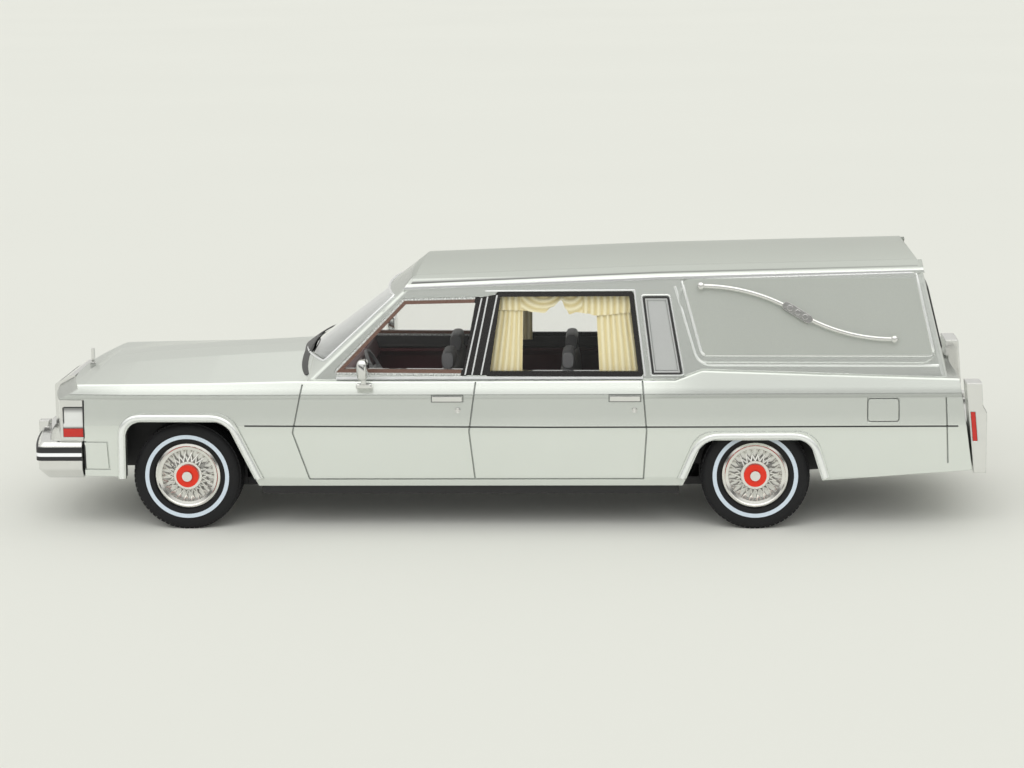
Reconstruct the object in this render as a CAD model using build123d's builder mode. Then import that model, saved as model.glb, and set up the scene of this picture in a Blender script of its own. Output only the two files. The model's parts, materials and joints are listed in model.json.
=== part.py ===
from build123d import *
import os

# A 1:43 scale model of an American hearse from the early 1980s, in millimetres.
# The nose points to -X, the left side to -Y and the roof to +Z. The origin is on the
# floor under the middle of the model, so the floor is the plane Z = 0.

os.makedirs("parts", exist_ok=True)

# Running gear
front_axle_x = -47.5
wheelbase = 85.36
rear_axle_x = front_axle_x + wheelbase
tyre_radius = 8.15
tyre_width = 5.2
tyre_face_y = 20.6
rim_seat_radius = 5.0
axle_radius = 0.75
axle_running_gap = 0.05
press_gap = 0.02
axle_end_depth = 1.2
axle_z = tyre_radius
hub_y = tyre_face_y - tyre_width

# Tyre profile: distance out from the rim seat, share of the width from the inner face
tyre_profile = [(0.0, 0.12), (0.5, 0.03), (1.9, 0.0), (2.85, 0.09), (3.15, 0.2)]

# Wire-style wheel cover and the coloured disc in its middle
cover_recess = 0.6
cover_ring_width = 0.95
cover_bowl_depth = 1.3
cover_spokes = 22
spoke_width = 0.2
spoke_height = 0.3
spoke_lean = 16.0
spoke_tilt = 26.0
spoke_middle_depth = 0.75
spoke_layer = 0.1
spoke_root = 0.25
cover_rim_step = 0.15
cover_rim_crest = 0.35
hub_ring_radius = 2.15
centre_disc_radius = 1.7
centre_disc_thickness = 0.5
cover_boss_radius = 0.75
cover_boss_height = 0.35

# Shell walls and the gaps between fixed pieces
wall = 1.2
seat_gap = 0.05
fit_gap = 0.1
reach = 40.0

# Lower body: the lines that run along it
under_z = 6.95
rocker_z = 8.3
flank_z = 16.2
crease_z = 20.9
nose_under_z = 8.4
tail_under_z = 9.3
tail_top_x = 67.8
tail_top_z = 22.9
tail_foot_x = 69.8
cowl_x = -31.0
rocker_out = 0.5
crease_in = 0.35
edge_round = 0.45

# Sections across the lower body. The widths are half widths, the heights are over the floor.
# Columns: place along the car, sill, flank and shoulder width, shoulder height,
# width and height of the bonnet crease, height at the middle.
body_sections = [
    (-70.0, 20.4, 21.4, 20.5, 22.2, 7.4, 21.8, 21.7),
    (-65.0, 20.7, 21.7, 20.7, 22.25, 7.4, 21.9, 21.85),
    (-62.5, 20.8, 21.8, 20.8, 22.3, 7.4, 22.9, 23.1),
    (-57.0, 21.3, 22.3, 21.1, 22.35, 7.4, 23.6, 23.9),
    (-44.0, 21.6, 22.6, 21.3, 22.5, 7.3, 24.5, 24.8),
    (cowl_x, 21.6, 22.6, 21.3, 22.75, 7.2, 25.2, 25.4),
    (cowl_x + 5.0, 21.6, 22.6, 21.3, 22.75, 7.0, 23.2, 23.4),
    (26.0, 21.6, 22.6, 21.3, 22.75, 7.0, 23.2, 23.4),
    (30.0, 21.6, 22.6, 20.9, 24.2, 7.0, 24.4, 24.6),
    (70.2, 21.2, 22.2, 21.0, 22.8, 7.0, 23.0, 23.2),
]

# Nose: every face across the front follows one bow
nose_bow = 3.3
bow_y = 21.4
nose_side_x = -62.6
nose_wall = 2.0
tail_wall = 2.0
header_lip_x = -66.2
header_lip_z = 20.1
header_top_x = -63.3
header_top_z = 21.6

# Cabin and roof
belt_z = 22.0
belt_drop = 3.0
loft_top_z = 43.0
side_y_belt = 20.3
side_y_top = 15.7
screen_mid_belt_x = -35.4
screen_end_belt_x = -29.4
screen_mid_top_x = -7.0
screen_end_top_x = -7.0
tail_belt_x = 66.4
tail_roof_x = 61.5
tail_bow = 0.7
pillar_round = 0.9

# Sections across the roof. Columns: place along the car, height of the drip rail,
# height of the roof's middle.
roof_sections = [
    (-40.0, 35.4, 37.6),
    (-13.0, 36.45, 38.95),
    (24.0, 37.75, 40.3),
    (75.0, 38.75, 41.3),
]
drip_y = 17.1
cant_y = 14.4
cant_rise = 1.35
cant_round = 1.2
roof_rim_y = 30.0
tail_roof_cut = [(59.9, 45.0), (60.3, 41.2), (61.3, 40.75), (62.35, 39.3), (64.0, 36.0), (70.0, 45.0)]
rail_height = 0.4
rail_out = 0.22

# Window openings in the side view, corner by corner along the car and up
front_window = [(-25.6, 23.5), (-14.6, 34.7), (-2.7, 34.9), (-4.9, 23.3)]
rear_window = [(-2.5, 23.25), (-0.7, 35.6), (19.8, 35.6), (21.3, 23.15)]
window_pillar = [(-5.7, 23.4), (-3.5, 34.7), (-0.2, 35.3), (-1.9, 23.35)]
window_corner = 0.5
front_frame_width = 0.9
rear_frame_width = 0.75
frame_depth = 0.05
pillar_recess = 0.45
glass_inset = 0.4
glass_thickness = 0.45
belt_strip = [(-24.6, 22.92), (-24.6, 23.3), (21.2, 23.17), (21.2, 22.86)]
belt_strip_out = 0.4

# Windscreen and tail door openings, as half outlines seen along the car
screen_opening = [(18.1, 25.3), (15.9, 34.9)]
screen_from_x = -45.0
screen_to_x = -8.0
tail_opening = [(14.5, 26.5), (13.0, 35.4)]
tail_from_x = 55.0
tail_to_x = 75.0

# Wheel arches in the side view, from the axle: corner by corner, height over the floor
front_arch = [(-9.2, 0.0), (-8.75, 16.9), (6.4, 16.9), (14.3, 0.0)]
rear_arch = [(-13.8, 0.0), (-7.8, 14.0), (7.9, 14.0), (12.2, 0.0)]
arch_round = 2.4
arch_lip = 1.25
arch_lip_out = 0.35
arch_lip_foot_z = 8.1

# Rear quarter: the padded panel on each side and the bead round it
pad_outline = [(26.9, 37.3), (29.9, 26.3), (64.3, 26.1), (61.6, 38.2)]
pad_out = 0.3
bead_outline = [(25.9, 36.6), (29.3, 24.95), (64.9, 24.75), (61.9, 38.1)]
bead_width = 0.3
bead_out = 0.2
bead_round = 2.0
pad_round = 0.8
opera_panel = [(22.6, 23.5), (21.2, 34.8), (25.0, 34.8), (27.0, 23.5)]
opera_recess = 0.5
opera_frame_out = 0.12
opera_frame_width = 0.5
opera_panel_inset = 0.12

# Shut lines and panel marks, cut into the body's side
groove_width = 0.2
groove_depth = 0.25
door_foot_z = 8.05
# Columns: place at the top, height of the top, place halfway, place at the foot
door_lines = [
    (-29.6, 22.3, -31.1, -28.7),
    (-3.7, 22.6, -4.7, -3.9),
    (21.1, 22.7, 21.7, 21.2),
]
tail_line = [(65.8, 20.2), (66.2, 10.4)]
nose_mark = [(-62.8, 13.7), (-59.2, 13.7), (-59.0, 9.5), (-62.8, 9.5)]
fuel_door_centre = (56.6, 18.4)
fuel_door_length = 4.5
fuel_door_height = 3.3
fuel_door_corner = 0.5

# Base plate. Its underside is a line along the car: place, height.
plate_low_z = 5.6
plate_line = [
    (-70.0, 8.6),
    (front_axle_x - 7.5, 8.6),
    (front_axle_x - 5.0, plate_low_z),
    (rear_axle_x + 5.5, plate_low_z),
    (rear_axle_x + 8.0, 7.8),
    (65.5, 9.1),
]
plate_thickness = 1.2
well_gap = 1.2
well_length = 22.8
well_wall = 0.5
well_outer_y = 21.1
well_roof_z = 17.8
well_end_z = 8.9
well_end_from = 8.3
well_axle_radius = 1.2
post_y = 9.0
post_width = 3.0
post_length = 4.6
post_cap = 0.7
display_screw_x = (-30.0, 56.0)
display_hole_radius = 0.8
display_boss_radius = 2.2
display_boss_height = 4.0

# Interior
tub_floor = 1.0
tub_wall = 0.6
tub_front_x = -27.0
tub_floor_z = plate_low_z + plate_thickness + seat_gap
tub_rim_z = 21.3
tub_inner_y = 18.8
deck_z = 19.2
deck_thickness = 1.0
deck_front_x = 15.0
deck_rear_x = 64.5
deck_leg_x = 60.0
deck_leg_half = 12.0
deck_leg_foot_z = 10.15
skid_y = (-9.0, -3.0, 3.0, 9.0)
skid_width = 0.8
skid_height = 0.3
seat_x = (-18.4, -0.1)
seat_half_width = 17.0
# Seat outline from its front edge: distance back, height
seat_outline = [(0.0, 8.0), (-0.4, 15.4), (7.6, 14.4), (8.6, 23.2), (11.0, 23.2), (11.6, 8.0)]
seat_round = 1.0
headrest_y = 8.8
headrest_width = 7.4
headrest_depth = 2.2
headrest_height = 2.6
headrest_back = 9.9
dash_half_width = 17.6
dash_outline = [(-25.9, 15.0), (-25.9, 23.2), (-22.6, 23.8), (-21.8, 21.0), (-23.4, 15.0)]
dash_round = 0.5
steering_x = -19.6
steering_y = 8.8
steering_z = 22.4
steering_radius = 3.6
steering_rim = 0.45
steering_column = 2.1
drape_inset = wall + 0.65
drape_thickness = 0.7
# Drape outlines in the side view: left panel, right panel, valance with two swags
drape_outlines = [
    [(-2.4, 22.9), (-0.9, 34.9), (3.4, 34.9), (2.2, 22.9)],
    [(14.8, 22.9), (15.4, 34.9), (19.4, 34.9), (20.9, 22.9)],
    [(-0.95, 32.6), (-0.7, 35.4), (19.4, 35.4), (19.8, 32.6), (15.0, 32.0), (9.6, 33.6), (4.0, 32.0)],
]

# Grille, lamps and bonnet ornament
grille_front_x = -70.0
grille_shell_x = -66.7
grille_half = 7.5
grille_lip_z = 20.1
grille_top_x = -67.6
grille_top_z = 21.5
grille_rim = 0.55
grille_columns = 15
grille_rows = 6
grille_bar = 0.3
grille_depth = 0.8
lamp_bottom_z = 13.9
bezel_side_x = -66.1
bezel_inner_y = grille_half + seat_gap
bezel_outer_y = 21.4
bezel_rim = 0.6
bezel_middle = 0.5
lamp_low_z = 14.6
lamp_high_z = 19.4
lamp_pocket = 1.1
lamp_set_back = 0.3
corner_inner_y = 20.3
corner_front_x = -65.9
corner_top_z = 18.9
marker_top_z = 15.7
marker_bottom_z = 14.4
ornament_x = -65.4
ornament_foot = (0.9, 0.4)
ornament_blade = (0.5, 0.45)
ornament_height = 2.6

# Bumpers. Columns: name, end, corner, half width, bow's middle, corner radius, tuck of the
# foot, foot, lower edge, upper edge, top, strip foot and strip top
bumper_rows = [
    ("front", nose_side_x - 0.5, -69.7, 21.9, -72.3, 1.1, 1.1, 8.1, 9.5, 13.0, 13.6, 10.9, 12.9),
    ("rear", tail_foot_x + 0.1, 71.3, 17.7, 72.5, 0.5, 0.5, 8.8, 9.6, 14.4, 14.9, 10.9, 13.1),
]
bumper_bar = 1.7
top_tuck = 0.4
strip_out = 0.25
strip_gap = 0.03
guard_y = 8.0
guard_width = 1.7
guard_rise = 1.0
guard_out = 0.1
guard_back = 1.5

# Tail ends: a bright cap on each wing with the tail lamp in it
cap_outline = [(68.7, 22.35), (71.0, 22.35), (71.2, 19.1), (71.8, 18.0), (71.8, 8.9), (70.0, 8.9)]
cap_inner_y = 18.1
cap_outer_y = 22.1
side_lens = [(69.35, 18.1), (70.1, 18.1), (70.5, 13.7), (69.75, 13.7)]
lens_sink = 0.5
rear_lens_y = (18.9, 21.3)
rear_lens_z = (10.2, 17.6)

# Fittings on the doors, the rear panels and the tail door
side_face_y = 22.35
mirror_face_y = 21.95
mirror_x = -21.4
mirror_foot_z = 21.9
mirror_head_z = 23.3
mirror_head_height = 3.1
handle_x = (-7.9, 18.5)
handle_z = 20.3
handle_length = 4.4
handle_height = 0.7
handle_out = 0.65
handle_foot = 0.8
handle_stand_off = 0.2
bar_start = (29.8, 36.4)
bar_end = (58.3, 28.6)
bar_radius = 0.35
bar_ball_radius = 0.6
bar_stand_off = 0.95
bar_plate_length = 5.0
bar_plate_width = 1.3
bar_stud_radius = 0.4
tail_handle = [(68.5, 19.2), (70.0, 19.2), (69.5, 25.9), (67.5, 25.9), (67.5, 23.5), (67.95, 23.5)]
tail_handle_half = 3.5


def half_ring(half):
    """A closed outline from the points of its right half, bottom to top."""
    return half + [(-y, z) for y, z in reversed(half) if y > 0]


def lower_section(row, inset):
    """A section of the lower body at one place, drawn in by the wall when inset is set."""
    x, sill, flank, shoulder, shoulder_z, break_y, break_z, middle_z = row
    bottom = under_z - (5.0 if inset > 0.3 else 0.0)
    half = [
        (sill - inset, bottom),
        (sill + rocker_out - inset, rocker_z),
        (flank - inset, flank_z),
        (flank - crease_in - inset, crease_z - inset / 2),
        (shoulder - inset, shoulder_z - inset),
        (break_y, break_z - inset),
        (0.0, middle_z - inset),
    ]
    with BuildSketch(Plane.YZ.offset(x)) as face:
        with BuildLine():
            Polyline(half_ring(half), close=True)
        make_face()
        if not inset:
            corners = face.vertices().filter_by(lambda v: abs(v.X) > shoulder - 0.01 and v.Y > rocker_z + 1)
            fillet(corners, edge_round)
    return face.sketch


def lower_body(inset=0.0):
    """The lower body's solid, through its sections."""
    with BuildPart() as block:
        loft(sections=[lower_section(row, inset) for row in body_sections], ruled=True)
    return block.part


def lower_slab(outer_inset, inner_inset):
    """A thin layer of the lower body's skin between two insets."""
    with BuildPart() as slab:
        add(lower_body(outer_inset))
        add(lower_body(inner_inset), mode=Mode.SUBTRACT)
    return slab.part


def bonnet_z(x):
    """Height of the bonnet's middle line at one place."""
    for (x_from, *_, z_from), (x_to, *_, z_to) in zip(body_sections, body_sections[1:]):
        if x_from <= x <= x_to:
            return z_from + (z_to - z_from) * (x - x_from) / (x_to - x_from)


def side_prism(points, grow=0.0, corner=0.0):
    """A solid with the given side view, right through the car."""
    with BuildPart() as prism:
        with BuildSketch(Plane.XZ) as view:
            with BuildLine():
                Polyline(points, close=True)
            make_face()
            if corner:
                fillet(view.vertices().filter_by(lambda v: v.Y > under_z), corner)
            if grow:
                offset(amount=grow, kind=Kind.INTERSECTION, mode=Mode.REPLACE)
        extrude(amount=reach, both=True)
    return prism.part


def end_prism(half, x_from, x_to, grow=0.0):
    """A solid with the given end view, from one place along the car to another."""
    with BuildPart() as prism:
        with BuildSketch(Plane.YZ.offset(x_from)):
            with BuildLine():
                Polyline(half_ring(half), close=True)
            make_face()
            if grow:
                offset(amount=grow, kind=Kind.INTERSECTION, mode=Mode.REPLACE)
        extrude(amount=x_to - x_from)
    return prism.part


def box(x_from, x_to, y_from, y_to, z_from, z_to):
    """A plain block between two corners, given in any order."""
    with BuildPart() as block:
        with Locations(((x_from + x_to) / 2, (y_from + y_to) / 2, (z_from + z_to) / 2)):
            Box(abs(x_to - x_from), abs(y_to - y_from), abs(z_to - z_from))
    return block.part


def behind_bow(z, side_x):
    """The plan of everything behind the nose's bow, which passes side_x at the car's side."""
    middle_x = side_x - nose_bow
    reach_x = middle_x + nose_bow * (reach / bow_y) ** 2
    with BuildSketch(Plane.XY.offset(z)) as plan:
        with BuildLine():
            ThreePointArc((reach_x, -reach), (middle_x, 0), (reach_x, reach))
            Polyline((reach_x, reach), (2 * reach, reach), (2 * reach, -reach), (reach_x, -reach))
        make_face()
    return plan.sketch


def bowed_block(side_x, z_from, z_to, top_side_x=None):
    """Everything behind the nose's bow between two heights."""
    with BuildPart() as block:
        if top_side_x is None:
            with BuildSketch(Plane.XY.offset(z_from)):
                add(behind_bow(0, side_x))
            extrude(amount=z_to - z_from)
        else:
            loft(sections=[behind_bow(z_from, side_x), behind_bow(z_to, top_side_x)], ruled=True)
    return block.part


def cabin_plan(z, screen_mid_x, screen_end_x, side_y, tail_x, inset, corner):
    """The cabin's plan view at one height."""
    end_x = screen_end_x + inset
    mid_x = screen_mid_x + inset
    rear_x = tail_x - inset
    y = side_y - inset
    with BuildSketch(Plane.XY.offset(z)) as plan:
        with BuildLine():
            ThreePointArc((end_x, -y), (mid_x - 0.01, 0), (end_x, y))
            Line((end_x, y), (rear_x, y))
            ThreePointArc((rear_x, y), (rear_x + tail_bow, 0), (rear_x, -y))
            Line((rear_x, -y), (end_x, -y))
        make_face()
        if corner:
            fillet(plan.vertices(), corner)
    return plan.sketch


def cabin_block(inset=0.0, corner=0.0):
    """The cabin's walls carried up past the roof, drawn in by inset."""
    with BuildPart() as block:
        loft(
            sections=[
                cabin_plan(belt_z, screen_mid_belt_x, screen_end_belt_x, side_y_belt, tail_belt_x, inset, corner),
                cabin_plan(loft_top_z, screen_mid_top_x, screen_end_top_x, side_y_top, tail_roof_x, inset, corner),
            ],
            ruled=True,
        )
    return block.part


def cabin_hole(inset):
    """The hole in the lower body's top under the cabin."""
    with BuildPart() as hole:
        add(cabin_plan(belt_z, screen_mid_belt_x, screen_end_belt_x, side_y_belt, tail_belt_x, inset, 0))
        extrude(amount=-belt_drop)
    return hole.part


def roof_section(row, drop):
    """A section of everything under the roof at one place."""
    x, drip_z, middle_z = row
    cant_z = drip_z + cant_rise - drop
    with BuildSketch(Plane.YZ.offset(x)) as section:
        with BuildLine():
            ThreePointArc((-cant_y, cant_z), (0, middle_z - drop), (cant_y, cant_z))
            Polyline(
                (cant_y, cant_z),
                (drip_y, drip_z - drop),
                (roof_rim_y, drip_z - drop),
                (roof_rim_y, 0),
                (-roof_rim_y, 0),
                (-roof_rim_y, drip_z - drop),
                (-drip_y, drip_z - drop),
                (-cant_y, cant_z),
            )
        make_face()
        fillet(section.vertices().filter_by(lambda v: abs(abs(v.X) - cant_y) < 0.01), cant_round)
    return section.sketch


def under_roof(drop=0.0):
    """Everything under the roof's skin, lowered by drop."""
    with BuildPart() as block:
        loft(sections=[roof_section(row, drop) for row in roof_sections], ruled=True)
    return block.part


def cabin(inset=0.0, corner=0.0):
    """The whole cabin and roof as one closed solid, drawn in by inset."""
    with BuildPart() as block:
        add(cabin_block(inset, corner))
        add(under_roof(inset), mode=Mode.INTERSECT)
        if not inset:
            add(side_prism(tail_roof_cut), mode=Mode.SUBTRACT)
    return block.part


def cabin_slab(outer_inset, inner_inset):
    """A thin layer of the cabin's walls between two insets."""
    with BuildPart() as slab:
        add(cabin_block(outer_inset))
        add(cabin_block(inner_inset), mode=Mode.SUBTRACT)
    return slab.part


def at_axle(arch, axle_x):
    """An arch's outline at its axle."""
    return [(axle_x + x, z) for x, z in arch]


def groove(width_line, closed=False):
    """A thin solid along a line in the side view, right through the car."""
    with BuildPart() as cut:
        with BuildSketch(Plane.XZ):
            with BuildLine() as line:
                Polyline(width_line, close=closed)
            trace(line.edges(), groove_width)
        extrude(amount=reach, both=True)
    return cut.part


def mirrored(part):
    """The same piece on the car's other side."""
    with BuildPart() as other:
        add(part, mode=Mode.PRIVATE)
        mirror(part, about=Plane.XZ)
    return other.part


def keep(part, name):
    """Label a finished piece and write its file."""
    part.label = name
    export_step(part, "parts/" + name + ".step")


# Body shell: lower body and cabin in one casting, open below
profile = [
    (-reach * 2, nose_under_z),
    (-reach * 2, 60.0),
    (tail_top_x, 60.0),
    (tail_top_x, tail_top_z),
    (tail_foot_x, tail_under_z),
    (rear_axle_x + 9.9, 7.7),
    (rear_axle_x, under_z),
    (front_axle_x, under_z),
    (front_axle_x, nose_under_z),
]
openings = (front_window, rear_window)
with BuildPart() as lower_shell:
    add(lower_body())
    add(side_prism(profile), mode=Mode.INTERSECT)
    with BuildPart(mode=Mode.INTERSECT):
        add(bowed_block(nose_side_x, 0, header_lip_z))
        add(bowed_block(header_lip_x, header_lip_z, header_top_z, header_top_x))
        add(bowed_block(header_top_x, header_top_z, 60.0))
    for arch, axle_x in ((front_arch, front_axle_x), (rear_arch, rear_axle_x)):
        with BuildPart():
            add(lower_slab(-arch_lip_out, 0.3))
            add(side_prism(at_axle(arch, axle_x), grow=arch_lip, corner=arch_round), mode=Mode.INTERSECT)
            add(box(-80, 80, -reach, reach, arch_lip_foot_z, 30), mode=Mode.INTERSECT)
    with BuildPart(mode=Mode.SUBTRACT):
        add(lower_body(wall))
        add(bowed_block(nose_side_x + nose_wall, 0, 60), mode=Mode.INTERSECT)
        add(box(-80, tail_top_x - tail_wall, -reach, reach, 0, 60), mode=Mode.INTERSECT)
    grille_hole_y = grille_half + fit_gap
    add(box(-80, grille_shell_x, -grille_hole_y, grille_hole_y, 0, grille_top_z + fit_gap), mode=Mode.SUBTRACT)
    for arch, axle_x in ((front_arch, front_axle_x), (rear_arch, rear_axle_x)):
        add(side_prism(at_axle(arch, axle_x), corner=arch_round), mode=Mode.SUBTRACT)

with BuildPart() as shut_lines:
    for top_x, top_z, middle_x, foot_x in door_lines:
        add(groove([(top_x, top_z), (middle_x, (top_z + door_foot_z) / 2), (foot_x, door_foot_z)]))
    add(groove([(door_lines[0][3], door_foot_z), (door_lines[-1][3], door_foot_z)]))
    add(groove(tail_line))
    add(groove(nose_mark))
    with BuildSketch(Plane.XZ):
        with Locations(fuel_door_centre):
            RectangleRounded(fuel_door_length + groove_width, fuel_door_height + groove_width, fuel_door_corner)
            RectangleRounded(fuel_door_length, fuel_door_height, fuel_door_corner, mode=Mode.SUBTRACT)
    extrude(amount=reach)
    add(lower_slab(-1.0, groove_depth), mode=Mode.INTERSECT)

with BuildPart() as body_shell:
    add(lower_shell.part)
    add(shut_lines.part, mode=Mode.SUBTRACT)
    add(cabin(corner=pillar_round))
    with BuildPart():
        add(cabin_slab(-pad_out, 0.3))
        add(side_prism(pad_outline, corner=pad_round), mode=Mode.INTERSECT)
    with BuildPart():
        add(cabin_slab(-bead_out, 0.3))
        add(side_prism(bead_outline, corner=bead_round), mode=Mode.INTERSECT)
        add(side_prism(bead_outline, grow=-bead_width, corner=bead_round), mode=Mode.SUBTRACT)
    with BuildPart():
        add(cabin_slab(-rail_out, 0.3))
        add(under_roof(0.05), mode=Mode.INTERSECT)
        add(under_roof(0.05 + rail_height), mode=Mode.SUBTRACT)
        add(box(-80, 80, -cant_y, cant_y, 0, 60), mode=Mode.SUBTRACT)
    with BuildPart(mode=Mode.SUBTRACT):
        add(cabin(wall))
        add(cabin_hole(wall))
    for window in openings:
        add(side_prism(window, corner=window_corner), mode=Mode.SUBTRACT)
    with BuildPart(mode=Mode.SUBTRACT):
        add(cabin_slab(-1.0, pillar_recess))
        add(side_prism(window_pillar), mode=Mode.INTERSECT)
    add(end_prism(screen_opening, screen_from_x, screen_to_x), mode=Mode.SUBTRACT)
    add(end_prism(tail_opening, tail_from_x, tail_to_x), mode=Mode.SUBTRACT)
    with BuildPart(mode=Mode.SUBTRACT):
        add(cabin_slab(-1.0, opera_recess))
        add(side_prism(opera_panel), mode=Mode.INTERSECT)
keep(body_shell.part, "body_shell")

# Base plate, cut out for the wheels, with the axles' bearing posts and the display screws' bosses
plate_bottom = [(x, z) for x, z in plate_line]
plate_top = [(x, z + plate_thickness) for x, z in reversed(plate_line)]
well_inner_y = hub_y - well_gap
with BuildPart() as base_plate:
    add(side_prism(plate_bottom + plate_top))
    add(lower_body(wall + fit_gap), mode=Mode.INTERSECT)
    add(bowed_block(nose_side_x + nose_wall + fit_gap, 0, 60), mode=Mode.INTERSECT)
    for axle_x in (front_axle_x, rear_axle_x):
        for side in (-1, 1):
            well_x = (axle_x - well_length / 2, axle_x + well_length / 2)
            add(box(*well_x, side * well_inner_y, side * reach, 0, 20), mode=Mode.SUBTRACT)
            post_x = (axle_x - post_length / 2, axle_x + post_length / 2)
            post_top = axle_z + axle_radius + post_cap
            add(box(*post_x, side * post_y, side * (post_y + post_width), plate_low_z + 0.2, post_top))
        with Locations(Location((axle_x, 0, axle_z), (90, 0, 0))):
            Cylinder(axle_radius + axle_running_gap, 2 * reach, mode=Mode.SUBTRACT)
    for x in display_screw_x:
        with Locations((x, 0, plate_low_z + display_boss_height / 2)):
            Cylinder(display_boss_radius, display_boss_height)
        with Locations((x, 0, plate_low_z)):
            Cylinder(display_hole_radius, 20, mode=Mode.SUBTRACT)
keep(base_plate.part, "base_plate")

# Wheel wells: four liners that stand in the plate's cut-outs and close off the arches
with BuildPart() as wheel_wells:
    half = well_length / 2 - fit_gap
    inner_y = well_inner_y + fit_gap
    for axle_x in (front_axle_x, rear_axle_x):
        outside_x = (axle_x - half, axle_x + half)
        inside_x = (axle_x - half + well_wall, axle_x + half - well_wall)
        for side in (-1, 1):
            add(box(*outside_x, side * inner_y, side * well_outer_y, plate_low_z + 0.2, well_roof_z))
            inside_y = (side * (inner_y + well_wall), side * reach)
            add(box(*inside_x, *inside_y, 0, well_roof_z - well_wall), mode=Mode.SUBTRACT)
        for way in (-1, 1):
            end_x = (axle_x + way * well_end_from, axle_x + way * well_length)
            add(box(*end_x, -reach, reach, 0, well_end_z), mode=Mode.SUBTRACT)
        with Locations(Location((axle_x, 0, axle_z), (90, 0, 0))):
            Cylinder(well_axle_radius, 2 * reach, mode=Mode.SUBTRACT)
    add(lower_body(wall + fit_gap), mode=Mode.INTERSECT)
keep(wheel_wells.part, "wheel_wells")

# Interior tub: floor, side walls, firewall and the bulkhead under the load deck
with BuildPart() as interior_tub:
    add(lower_slab(wall + fit_gap, wall + fit_gap + tub_wall))
    add(box(tub_front_x, deck_front_x, -reach, reach, tub_floor_z, tub_rim_z), mode=Mode.INTERSECT)
    add(box(tub_front_x, deck_front_x, -tub_inner_y, tub_inner_y, tub_floor_z, tub_rim_z), mode=Mode.SUBTRACT)
    with BuildPart():
        add(box(tub_front_x, deck_front_x, -reach, reach, tub_floor_z, tub_floor_z + tub_floor))
        add(box(tub_front_x, tub_front_x + tub_wall, -reach, reach, tub_floor_z, tub_rim_z - 0.3))
        bulkhead_top = deck_z - deck_thickness - seat_gap
        add(box(deck_front_x - tub_wall, deck_front_x, -reach, reach, tub_floor_z, bulkhead_top))
        add(lower_body(wall + fit_gap), mode=Mode.INTERSECT)
    with Locations((display_screw_x[0], 0, tub_floor_z)):
        Cylinder(display_boss_radius + fit_gap, 4 * tub_floor, mode=Mode.SUBTRACT)
keep(interior_tub.part, "interior_tub")

# Load deck with its skid strips, standing on the bulkhead and a rear leg
with BuildPart() as load_deck:
    add(box(deck_front_x - tub_wall, deck_rear_x, -reach, reach, deck_z - deck_thickness, deck_z))
    add(lower_body(wall + fit_gap), mode=Mode.INTERSECT)
    add(box(deck_front_x - tub_wall, deck_front_x + fit_gap, tub_inner_y, reach, 0, 60), mode=Mode.SUBTRACT)
    add(box(deck_front_x - tub_wall, deck_front_x + fit_gap, -tub_inner_y, -reach, 0, 60), mode=Mode.SUBTRACT)
    leg_x = (deck_leg_x, deck_leg_x + deck_thickness)
    add(box(*leg_x, -deck_leg_half, deck_leg_half, deck_leg_foot_z, deck_z - deck_thickness / 2))
    skid_x = (deck_front_x + 2, deck_rear_x - 2)
    for y in skid_y:
        add(box(*skid_x, y - skid_width / 2, y + skid_width / 2, deck_z, deck_z + skid_height))
keep(load_deck.part, "load_deck")

# Two rows of bench seats with head restraints
for name, seat_front_x in zip(("front_seat", "rear_seat"), seat_x):
    with BuildPart() as seat:
        with BuildSketch(Plane.XZ) as view:
            with BuildLine():
                Polyline([(seat_front_x + x, z) for x, z in seat_outline], close=True)
            make_face()
            fillet(view.vertices().filter_by(lambda v: v.Y > tub_floor_z + 2), seat_round)
        extrude(amount=seat_half_width, both=True)
        with BuildSketch(Plane.XY.offset(seat_outline[3][1] - 0.2)):
            with Locations((seat_front_x + headrest_back, -headrest_y), (seat_front_x + headrest_back, headrest_y)):
                RectangleRounded(headrest_depth, headrest_width, headrest_depth * 0.4)
        extrude(amount=headrest_height, taper=6)
    keep(seat.part, name)

# Dashboard
with BuildPart() as dashboard:
    with BuildSketch(Plane.XZ) as view:
        with BuildLine():
            Polyline(dash_outline, close=True)
        make_face()
        fillet(view.vertices().filter_by(lambda v: v.Y > tub_rim_z - 1), dash_round)
    extrude(amount=dash_half_width, both=True)
keep(dashboard.part, "dashboard")

# Steering wheel and its column
wheel_plane = Plane(origin=(steering_x, -steering_y, steering_z), z_dir=(1.0, 0, 0.55))
with BuildPart() as steering_wheel:
    with BuildSketch(wheel_plane.offset(-steering_rim / 2)):
        Circle(steering_radius)
        Circle(steering_radius - steering_rim, mode=Mode.SUBTRACT)
        Rectangle(0.7, 2 * steering_radius - steering_rim)
        Circle(2 * steering_rim)
    extrude(amount=steering_rim)
    with BuildSketch(wheel_plane):
        Circle(steering_rim)
    extrude(amount=-steering_column)
keep(steering_wheel.part, "steering_wheel")

# Windscreen and tail door glass
for name, outline, x_from, x_to in (
    ("windscreen", screen_opening, screen_from_x, screen_to_x),
    ("tail_door_glass", tail_opening, tail_from_x, tail_to_x),
):
    with BuildPart() as glass:
        add(cabin_slab(glass_inset, glass_inset + glass_thickness))
        add(end_prism(outline, x_from, x_to, grow=-fit_gap), mode=Mode.INTERSECT)
    keep(glass.part, name)

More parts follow.
